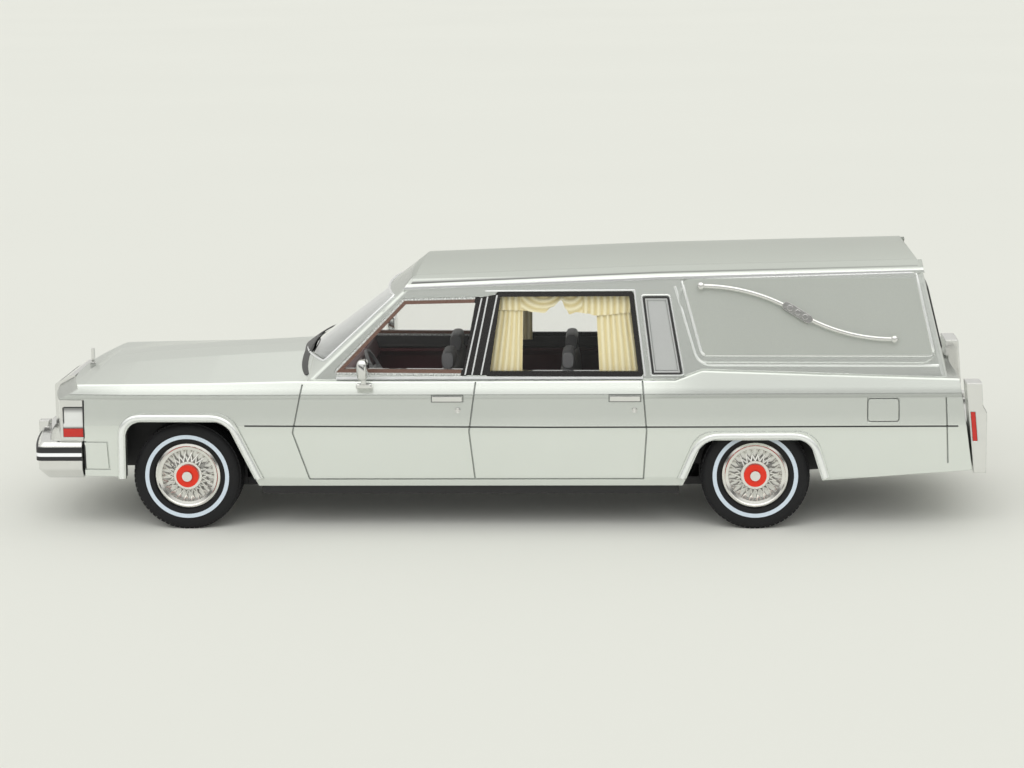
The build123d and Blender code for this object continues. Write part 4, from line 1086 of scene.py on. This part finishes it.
@dataclass
class Drapes:
    """Moulded drapes: a pleated panel at each end of the rear door window and a swagged valance."""

    shop: Workshop
    inset: float = 2.0
    thickness: float = 0.14
    pleat_depth: float = 0.3
    top_z: float = 35.3
    rail_drop: float = 0.4
    foot_z: float = 22.9
    panel_steps: tuple = (14, 48)
    valance_raise: float = 0.42
    valance_from: float = -0.8
    valance_length: float = 20.1
    valance_steps: tuple = (12, 120)
    valance: tuple = (
        (-0.9, 32.7), (2.6, 32.6), (4.8, 32.4), (6.4, 32.25), (7.6, 33.1), (9.0, 34.1), (9.6, 32.9),
        (10.2, 32.0), (11.3, 32.3), (13.0, 32.1), (14.1, 31.8), (19.5, 32.2),
    )

    def edge(self, x: float) -> float:
        """Height of the valance's lower edge."""
        for (x0, z0), (x1, z1) in zip(self.valance, self.valance[1:]):
            if x0 <= x <= x1:
                t = (x - x0) / (x1 - x0)
                t = t * t * (3 - 2 * t)
                return z0 + (z1 - z0) * t
        return self.valance[-1][1]

    def swag(self, x: float, z: float) -> float:
        """Relief of the valance, -1 to 1: folds round two swags, with pleats beside them."""
        if 3.0 < x < 9.0:
            return math.cos(math.tau * 1.15 * math.hypot((x - 6.3) * 0.8, z - 35.7))
        if 9.0 <= x < 12.2:
            return math.cos(math.tau * 1.15 * math.hypot(x - 10.3, (z - 35.8) * 0.85))
        return math.sin(math.tau * 1.05 * x + 0.3 * math.sin(z * 0.9))

    def sheet(self, weave: Weave, side: Side, inset: float, rows: Sequence[Sequence[Point]]) -> None:
        """Adds a closed sheet with relief.

        Args:
            weave: Where it is added.
            side: The car's side.
            inset: Depth of its highest folds under the cabin's surface.
            rows: Rows of (x, z, relief), the relief from -1 to 1.
        """
        layers = []
        for depth in (inset, inset + self.thickness):
            layer = []
            for row in rows:
                folds = [0.5 + 0.5 * relief for _, _, relief in row]
                weave.folds.extend(folds)
                depths = [depth + self.pleat_depth * (1 - fold) for fold in folds]
                layer.append([CABIN.on_side(x, z, side, -inward) for (x, z, _), inward in zip(row, depths)])
            layers.append(weave.grid(layer))
        weave.band(rim(layers[0]), rim(layers[1]))

    def panel(
        self, left: tuple[float, float], right: tuple[float, float], pleats: float, phase: float
    ) -> list[list[Point]]:
        """Rows of one hanging panel.

        Args:
            left: Place of its left edge at the foot and at the top.
            right: Place of its right edge at the foot and at the top.
            pleats: Number of pleats.
            phase: Where the first pleat starts.

        Returns:
            Rows of (x, z, relief).
        """
        high, wide = self.panel_steps
        rows = []
        for v in (k / high for k in range(high + 1)):
            z = self.foot_z + (self.top_z - self.rail_drop - self.foot_z) * v
            start = left[0] + (left[1] - left[0]) * v
            end = right[0] + (right[1] - right[0]) * v
            row = []
            for u in (i / wide for i in range(wide + 1)):
                turn = pleats * u + phase + 0.09 * math.sin(3.1 * v + 5 * u)
                relief = math.sin(math.tau * turn) * (0.82 + 0.18 * math.sin(math.tau * 2.3 * turn))
                row.append((start + (end - start) * u, z, relief))
            rows.append(row)
        return rows

    def swags(self) -> list[list[Point]]:
        """Rows of the valance, as (x, z, relief)."""
        high, wide = self.valance_steps
        rows = []
        for k in range(high + 1):
            row = []
            for i in range(wide + 1):
                x = self.valance_from + self.valance_length * i / wide
                low = self.edge(x)
                z = low + (self.top_z - low) * k / high
                row.append((x, z, self.swag(x, z)))
            rows.append(row)
        return rows

    def build(self) -> None:
        """Makes the drapes of both sides."""
        for side in Side:
            weave = Weave()
            self.sheet(weave, side, self.inset, self.panel((-2.3, -0.6), (3.1, 3.3), 6.0, 0.1))
            self.sheet(weave, side, self.inset, self.panel((14.7, 14.1), (20.7, 19.3), 6.5, 0.35))
            self.sheet(weave, side, self.inset - self.valance_raise, self.swags())
            name = f"drapes_{side.name.lower()}"
            mesh = weave.mesh(name)
            self.shop.piece("pleated_" + name, mesh, "body", "cream_cloth", ("pleated_cream",), (name,), 60.0)


@dataclass
class Seats:
    """The two moulded bench seats, with crowned cushions, sewn channels and head restraints.

    The side views are corners of (x, z), with x counted from the cushion's front edge.
    """

    shop: Workshop
    half_width: float = 16.9
    channels: int = 14
    channel_depth: float = 0.22
    end_pull: float = 0.16
    rest_y: float = 8.8
    rest_half: float = 3.6
    cushion: tuple = ((0.1, 8.1), (-0.3, 14.9), (0.6, 15.5), (7.4, 14.6), (8.4, 8.1))
    back: tuple = ((7.3, 13.0), (8.5, 22.6), (9.3, 23.3), (10.6, 23.2), (11.3, 21.5), (11.5, 8.2), (8.6, 8.2))
    rest: tuple = ((8.9, 22.9), (8.9, 25.3), (9.4, 25.75), (10.4, 25.75), (10.9, 25.2), (10.9, 22.9))

    def soften(self, corners: Sequence[tuple[float, float]]) -> list[tuple[float, float]]:
        """Splits each run of a closed outline in four and evens out its corners."""
        points = []
        for (x0, z0), (x1, z1) in zip(corners, [*corners[1:], corners[0]]):
            points.extend((x0 + (x1 - x0) * t / 4, z0 + (z1 - z0) * t / 4) for t in range(4))
        for _ in range(3):
            runs = zip([points[-1], *points[:-1]], points, [*points[1:], points[0]])
            points = [tuple(0.25 * a + 0.5 * b + 0.25 * c for a, b, c in zip(*run)) for run in runs]
        return points

    def pad(
        self,
        weave: Weave,
        corners: Sequence[tuple[float, float]],
        half: float,
        middle_y: float,
        channels: int,
    ) -> None:
        """Adds a padded block with a given side view, pulled in at its ends and sewn across.

        Args:
            weave: Where it is added.
            corners: Corners of the side view, going round.
            half: Half width across the car.
            middle_y: Middle of the block across the car.
            channels: Number of sewn channels, 1 for a plain block.
        """
        middle_x = sum(x for x, _ in corners) / len(corners)
        middle_z = sum(z for _, z in corners) / len(corners)
        smooth = self.soften(corners)
        steps = max(2, channels) * 4
        rings = []
        for u in (-1 + 2 * k / steps for k in range(steps + 1)):
            pull = 1 - self.end_pull * abs(u) ** 8
            seam = 1 - abs(math.sin(math.pi * channels * (u + 1) / 2)) ** 0.6
            groove = self.channel_depth * seam if channels > 1 else 0.0
            ring = []
            for x, z in smooth:
                away_x, away_z = x - middle_x, z - middle_z
                size = pull * (1 - groove / max(math.hypot(away_x, away_z), 1.0))
                ring.append((middle_x + away_x * size, middle_y + half * u, middle_z + away_z * size))
            rings.append(ring)
        weave.ring_tube(rings)

    def bench(self, name: str, front_x: float) -> None:
        """Makes one bench.

        Args:
            name: The frame node that it stands for.
            front_x: Place of the cushion's front edge.
        """
        weave = Weave()
        blocks = (
            (self.cushion, self.half_width, 0.0, self.channels),
            (self.back, self.half_width, 0.0, self.channels),
            (self.rest, self.rest_half, -self.rest_y, 1),
            (self.rest, self.rest_half, self.rest_y, 1),
        )
        for corners, half, middle_y, channels in blocks:
            self.pad(weave, [(front_x + x, z) for x, z in corners], half, middle_y, channels)
        mesh = weave.mesh(name)
        self.shop.piece("padded_" + name, mesh, "body", "black_trim", ("seat_plastic",), (name,), 50.0)

    def build(self) -> None:
        """Makes both benches."""
        self.bench("front_seat", -18.4)
        self.bench("rear_seat", -0.1)


@dataclass
class Mirrors:
    """The two door mirrors: a foot plate, a waisted stem and a rounded, dished head.

    The foot is its ends in X, Y and Z. The head is its middle and half size along the car,
    the same in height, and its near and far face across the car.
    """

    shop: Workshop
    foot: tuple = (-21.4, -19.0, 21.95, 23.0, 21.9, 22.6)
    foot_edge: float = 0.1
    head: tuple = (-20.3, 0.88, 24.85, 1.52, 21.65, 24.95)
    head_shape: tuple = ((0.0, 0.55), (0.08, 0.86), (0.25, 1.0), (0.75, 1.0), (0.92, 0.86), (1.0, 0.55))
    stem_y: float = 22.62
    stem_shape: tuple = ((22.3, 0.5, 0.34), (22.9, 0.34, 0.3), (23.6, 0.42, 0.34))

    def loop(self, middle: Point, half_x: float, half_z: float, power: float) -> list[Point]:
        """A rounded outline across Y.

        Args:
            middle: Its middle.
            half_x: Half size along the car.
            half_z: Half height.
            power: 2 for an ellipse, more for a squarer outline.

        Returns:
            The outline's points.
        """
        x, y, z = middle
        points = []
        for turn in circle(32):
            across, rise = (math.copysign(abs(part) ** (2 / power), part) for part in turn)
            points.append((x + half_x * across, y, z + half_z * rise))
        return points

    def mirror(self, side: Side) -> None:
        """Makes one mirror."""
        weave = Weave()
        x0, x1, y0, y1, z0, z1 = self.foot
        rings = []
        for y, inset in ((y0, 0.0), (y1 - self.foot_edge, 0.0), (y1, self.foot_edge)):
            middle = ((x0 + x1) / 2, side.value * y, (z0 + z1) / 2)
            rings.append(self.loop(middle, (x1 - x0) / 2 - inset, (z1 - z0) / 2 - inset, 7.0))
        weave.ring_tube(rings)
        x, half_x, z, half_z, near_y, far_y = self.head
        rings = []
        for share, size in self.head_shape:
            middle = (x, side.value * (near_y + (far_y - near_y) * share), z)
            rings.append(self.loop(middle, half_x * size, half_z * (0.3 + 0.7 * size), 3.2))
        weave.ring_tube(rings)
        y = side.value * self.stem_y
        rings = []
        for height, wide, deep in self.stem_shape:
            rings.append([(x + wide * c, y + deep * s, height) for c, s in circle(16)])
        weave.ring_tube(rings)
        name = f"door_mirror_{side.name.lower()}"
        self.shop.piece("rounded_" + name, weave.mesh(name), "body", "chrome", ("plated_chrome",), (name,))

    def build(self) -> None:
        """Makes both mirrors."""
        for side in Side:
            self.mirror(side)


BEAD_SLOTS = {"bright_foil": "bright_trim", "rolled_silver": "silver_paint", "black_gasket": "black_rubber"}


@dataclass
class SmallTrim:
    """Bright beads round the windows and pillars, rolled lips, gaskets, wipers and key locks.

    Runs, lips and lines are corners of (x, z) in the side view, those of the lips counted from
    the axle. A rim is a corner at the foot and one at the head of the glass, as (y, z).
    """

    shop: Workshop
    skin: Skin
    tree: GeometryTree = field(default_factory=bead_tree)
    window_runs: tuple = (
        ((-5.35, 23.45), (-2.85, 34.65)),
        ((-4.3, 23.45), (-1.95, 34.9)),
        ((-2.95, 23.45), (-0.55, 35.1)),
        ((19.95, 35.75), (21.5, 23.2)),
        ((-2.3, 35.7), (8.0, 35.75), (19.95, 35.75)),
    )
    front_lip: tuple = ((-9.58, 8.2), (-9.35, 17.5), (6.78, 17.5), (11.12, 8.2))
    rear_lip: tuple = ((-10.94, 8.2), (-8.2, 14.6), (8.34, 14.6), (10.31, 8.2))
    quarter_line: tuple = ((25.95, 36.3), (29.45, 24.8), (64.9, 24.6))
    pad_line: tuple = ((27.0, 37.0), (29.95, 26.25), (64.2, 26.05), (61.6, 38.0))
    panel_edge: tuple = ((22.45, 23.35), (20.98, 35.0), (25.15, 35.0), (27.25, 23.35), (22.45, 23.35))
    panel_line: tuple = ((22.7, 23.6), (21.32, 34.7), (24.92, 34.7), (26.85, 23.6), (22.7, 23.6))
    bezel_line: tuple = ((-62.7, 9.6), (-62.7, 20.0))
    lens_line: tuple = ((-65.75, 14.4), (-65.75, 18.95), (-62.9, 18.95))
    screen_rim: tuple = ((18.1, 25.3), (15.9, 34.9))
    tail_rim: tuple = ((14.5, 26.5), (13.0, 35.4))
    rim_corner: float = 0.6
    rim_lap: tuple = (8, 4)
    gasket_half: float = 18.1
    gasket_steps: int = 40
    crease_y: float = 7.2
    wipers: tuple = ((-9.5, 1.5), (3.0, 13.5))
    locks_x: tuple = (-6.35, 19.9)
    lock_z: float = 18.55
    lock_shape: tuple = ((0.42, 22.3), (0.42, 22.68), (0.3, 22.72), (0.26, 22.62))

    def bead(
        self, name: str, finish: str, radius: float, lines: Sequence[Sequence[Point]], sides: int = 10
    ) -> None:
        """Makes one piece of round beads that follow lines of points.

        Args:
            name: The piece's name.
            finish: Its finish.
            radius: The beads' radius.
            lines: The lines of their middles.
            sides: Flats round a bead.
        """
        material = self.shop.finish[finish]
        mesh = self.tree.run(line_mesh(name, lines), Radius=radius * MM, Sides=sides, Material=material)
        self.shop.piece(name, mesh, "body", BEAD_SLOTS[finish])

    def body_beads(self) -> None:
        """Makes the beads that lie on the car's sides: windows, arches, rear quarter, panels and nose."""
        runs = [[CABIN.on_side(x, z, side) for x, z in run] for side in Side for run in self.window_runs]
        self.bead("window_beads", "bright_foil", 0.13, runs, 8)
        lips = [
            (3.0, [(axle.value + x, z) for x, z in lip])
            for axle, lip in ((Axle.FRONT, self.front_lip), (Axle.REAR, self.rear_lip))
        ]
        quarter = [(2.0, self.quarter_line), (0.8, self.pad_line)]
        pieces = (
            ("arch_lips", "rolled_silver", 0.55, -0.28, lips),
            ("quarter_beads", "rolled_silver", 0.24, -0.06, quarter),
            ("panel_beads", "rolled_silver", 0.17, 0.0, [(0.4, self.panel_edge)]),
            ("panel_lines", "black_gasket", 0.15, 0.03, [(0.25, self.panel_line)]),
            ("bezel_gaps", "black_gasket", 0.13, 0.02, [(0.5, self.bezel_line)]),
            ("lens_gaps", "black_gasket", 0.08, 0.0, [(0.2, self.lens_line)]),
        )
        for name, finish, radius, out, paths in pieces:
            lines = [
                [self.skin.on(x, z, side, out) for x, z in round_path(path, corner)]
                for side in Side
                for corner, path in paths
            ]
            self.bead(name, finish, radius, lines)

    def glass_beads(self) -> None:
        """Makes the bright bead round the windscreen and the dark one round the tail door's glass."""
        rims = (
            ("screen_bead", "bright_foil", CABIN.screen, 0.2, self.screen_rim, -0.05),
            ("tail_glass_bead", "black_gasket", CABIN.tail, 0.24, self.tail_rim, 0.02),
        )
        start, end = self.rim_lap
        for name, finish, surface, radius, (foot, head), out in rims:
            corners = (foot, head, (-head[0], head[1]), (-foot[0], foot[1]), foot, head)
            path = round_path(corners, self.rim_corner)[start:-end]
            self.bead(name, finish, radius, [[(surface(y, z) + out, y, z) for y, z in path]])

    def gasket(self) -> None:
        """Makes the dark gasket between the bonnet and the windscreen."""
        weave = Weave()
        rings = []
        for i in range(self.gasket_steps + 1):
            y = -self.gasket_half + 2 * self.gasket_half * i / self.gasket_steps
            beyond = abs(y) - self.crease_y
            low = 25.2 - 0.2 * abs(y) / self.crease_y if beyond < 0 else 25.0 - 2.45 * beyond / 14.1
            high = low + 0.3 + 0.75 * (1 - (y / self.gasket_half) ** 2)
            corners = ((low, 0.02), (low, 0.5), (high, 0.16), (high, 0.02))
            rings.append([(CABIN.screen(y, z) - out, y, z) for z, out in corners])
        weave.ring_tube(rings)
        mesh = weave.mesh("screen_gasket")
        self.shop.piece("screen_gasket", mesh, "body", "black_rubber", ("black_gasket",))

    def wiper_arms(self) -> None:
        """Makes two parked wipers."""
        lines = []
        for pivot, tip in self.wipers:
            arm = []
            for t in (k / 8 for k in range(9)):
                y, z = pivot + (tip - pivot) * t, 25.35 + 1.1 * math.sin(math.pi * 0.75 * t)
                arm.append((CABIN.screen(y, z) - 0.22, y, z))
            lines.append(arm)
        self.bead("wipers", "black_gasket", 0.12, lines, 8)

    def locks(self) -> None:
        """Makes the four key locks under the door handles."""
        weave = Weave()
        for x, side in ((x, side) for x in self.locks_x for side in Side):
            weave.ring_tube(
                [
                    [(x + radius * c, side.value * y, self.lock_z + radius * s) for c, s in circle(16)]
                    for radius, y in self.lock_shape
                ]
            )
        self.shop.piece("key_locks", weave.mesh("key_locks"), "body", "chrome", ("plated_chrome",))

    def build(self) -> None:
        """Makes all small trim."""
        for make in (self.body_beads, self.glass_beads, self.gasket, self.wiper_arms, self.locks):
            make()


@dataclass
class Studio:
    """The pale floor, the soft light and the camera at the photograph's view."""

    camera_mm: Point = (22.585, -419.199, 91.040)
    target_mm: Point = (1.69, -20.6, 22.18)
    roll_deg: float = -0.666
    focal_px: float = 2720.0
    width_px: int = 1024
    sensor_mm: float = 36.0
    floor_half_m: float = 8.0
    floor_colour: Colour = screen_colour(230, 231, 225)
    sky_colour: Colour = (1.0, 1.0, 0.955)
    soft_level: float = 0.68
    seen_level: float = 0.8
    side_level: float = 0.85
    top_level: float = 1.55
    top_from: float = 0.72
    low_level: float = 0.7
    low_top: float = 0.35
    band_level: float = 0.1
    band_foot: float = 0.1
    band_top: float = 0.3
    fill_energy: float = 2.2
    fill_angle_deg: float = 70.0
    fill_towards: Point = (0.1, 1.0, -0.5)

    def camera(self) -> None:
        """Makes the camera."""
        data = bpy.data.cameras.new("camera")
        data.sensor_width = self.sensor_mm
        data.lens = self.focal_px / self.width_px * self.sensor_mm
        data.clip_start, data.clip_end = 0.01, 100.0
        obj = bpy.data.objects.new("camera", data)
        bpy.context.scene.collection.objects.link(obj)
        eye, aim = Vector(self.camera_mm) * MM, Vector(self.target_mm) * MM
        turn = (aim - eye).to_track_quat("-Z", "Y")
        obj.rotation_mode = "QUATERNION"
        obj.location = eye
        obj.rotation_quaternion = turn @ Quaternion((0, 0, 1), math.radians(self.roll_deg))
        bpy.context.scene.camera = obj

    def floor(self) -> None:
        """Makes the floor."""
        r = Recipe("studio_floor")
        tone = r.noise(0.004)
        material = r.finish(base_color=r.shade(self.floor_colour, 0.98 + 0.04 * tone), roughness=0.9)
        mesh = bpy.data.meshes.new("studio_floor")
        size = self.floor_half_m
        corners = [(-size, -size, 0), (size, -size, 0), (size, size, 0), (-size, size, 0)]
        mesh.from_pydata(corners, [], [(0, 1, 2, 3)])
        mesh.materials.append(material)
        obj = bpy.data.objects.new("studio_floor", mesh)
        bpy.context.scene.collection.objects.link(obj)

    def world(self) -> None:
        """Makes the soft light, and what gloss shows: a bright ceiling and a dark band of the room."""
        world = bpy.data.worlds.new("studio")
        bpy.context.scene.world = world
        world.use_nodes = True
        nodes = Nodes(world.node_tree)
        nodes.tree.nodes.clear()
        _, across, up = nodes.split(nodes.node("ShaderNodeTexCoord", {}, {}, "Generated"))
        gloss = nodes.node("ShaderNodeLightPath", {}, {}, "Is Glossy Ray")
        seen = nodes.node("ShaderNodeLightPath", {}, {}, "Is Camera Ray")
        near_side = 1.0 - across.over(-0.1, 0.25)
        band = near_side * up.within(self.band_foot, self.band_top, 0.03, 0.06)
        low = 1.0 - up.over(self.low_top, 0.15)
        level = self.side_level + (self.top_level - self.side_level) * up.over(self.top_from, 0.12)
        level = level - (self.side_level - self.low_level) * low - (self.low_level - self.band_level) * band
        level = self.soft_level + (level - self.soft_level) * gloss
        level = level + (self.seen_level - self.soft_level) * seen
        back = nodes.node("ShaderNodeBackground", {}, {"Strength": level, "Color": self.sky_colour})
        plug(nodes.tree, back, nodes.tree.nodes.new("ShaderNodeOutputWorld").inputs[0])

    def fill(self) -> None:
        """Makes the broad soft light from the camera's side, which leaves no gloss."""
        data = bpy.data.lights.new("fill_light", "SUN")
        data.energy = self.fill_energy
        data.angle = math.radians(self.fill_angle_deg)
        obj = bpy.data.objects.new("fill_light", data)
        bpy.context.scene.collection.objects.link(obj)
        obj.rotation_mode = "QUATERNION"
        obj.rotation_quaternion = Vector(self.fill_towards).to_track_quat("-Z", "Y")
        obj.visible_glossy = False

    def build(self) -> None:
        """Makes the whole studio."""
        self.camera()
        self.floor()
        self.world()
        self.fill()
        bpy.context.scene.view_settings.view_transform = "Standard"


PLAIN_FINISHES = {
    "silver_lacquer": ("body_shell",),
    "plain_silver": ("opera_frames", "opera_panels"),
    "base_plastic": ("base_plate", "wheel_wells"),
    "seat_plastic": ("steering_wheel",),
    "trim_burgundy": ("interior_tub", "dashboard"),
    "deck_plastic": ("load_deck",),
    "clear_glazing": ("windscreen", "tail_door_glass", "door_glass_left", "door_glass_right"),
    "frame_print": ("window_frames_left", "window_frames_right"),
    "bright_foil": ("belt_mouldings",),
    "plated_chrome": (
        "landau_bar_left", "landau_bar_right", "headlamp_bezels", "bonnet_ornament", "door_handles",
    ),
    "soft_chrome": ("front_bumper", "rear_bumper", "tail_lamp_housings", "tail_door_handle"),
    "grille_chrome": ("grille",),
    "ribbed_lamp_glass": ("headlamps",),
    "corner_glass": ("corner_lenses",),
    "tinted_red": ("side_markers", "tail_lamp_lenses"),
    "rub_strip": ("front_rub_strip", "rear_rub_strip"),
}


def main() -> None:
    """Builds the dressed model and its studio."""
    logging.basicConfig(level=logging.INFO, format="%(name)s: %(message)s")
    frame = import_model()
    shop = Workshop(frame)
    for finish, nodes in PLAIN_FINISHES.items():
        shop.dress(finish, *nodes)
    trim = SmallTrim(shop, Skin(frame, "body_shell", "headlamp_bezels", "corner_lenses", "opera_frames"))
    for part in (Wheels(shop), Drapes(shop), Seats(shop), Mirrors(shop), trim, Studio()):
        part.build()
        LOG.info("built %s", type(part).__name__)


if __name__ == "__main__":
    main()
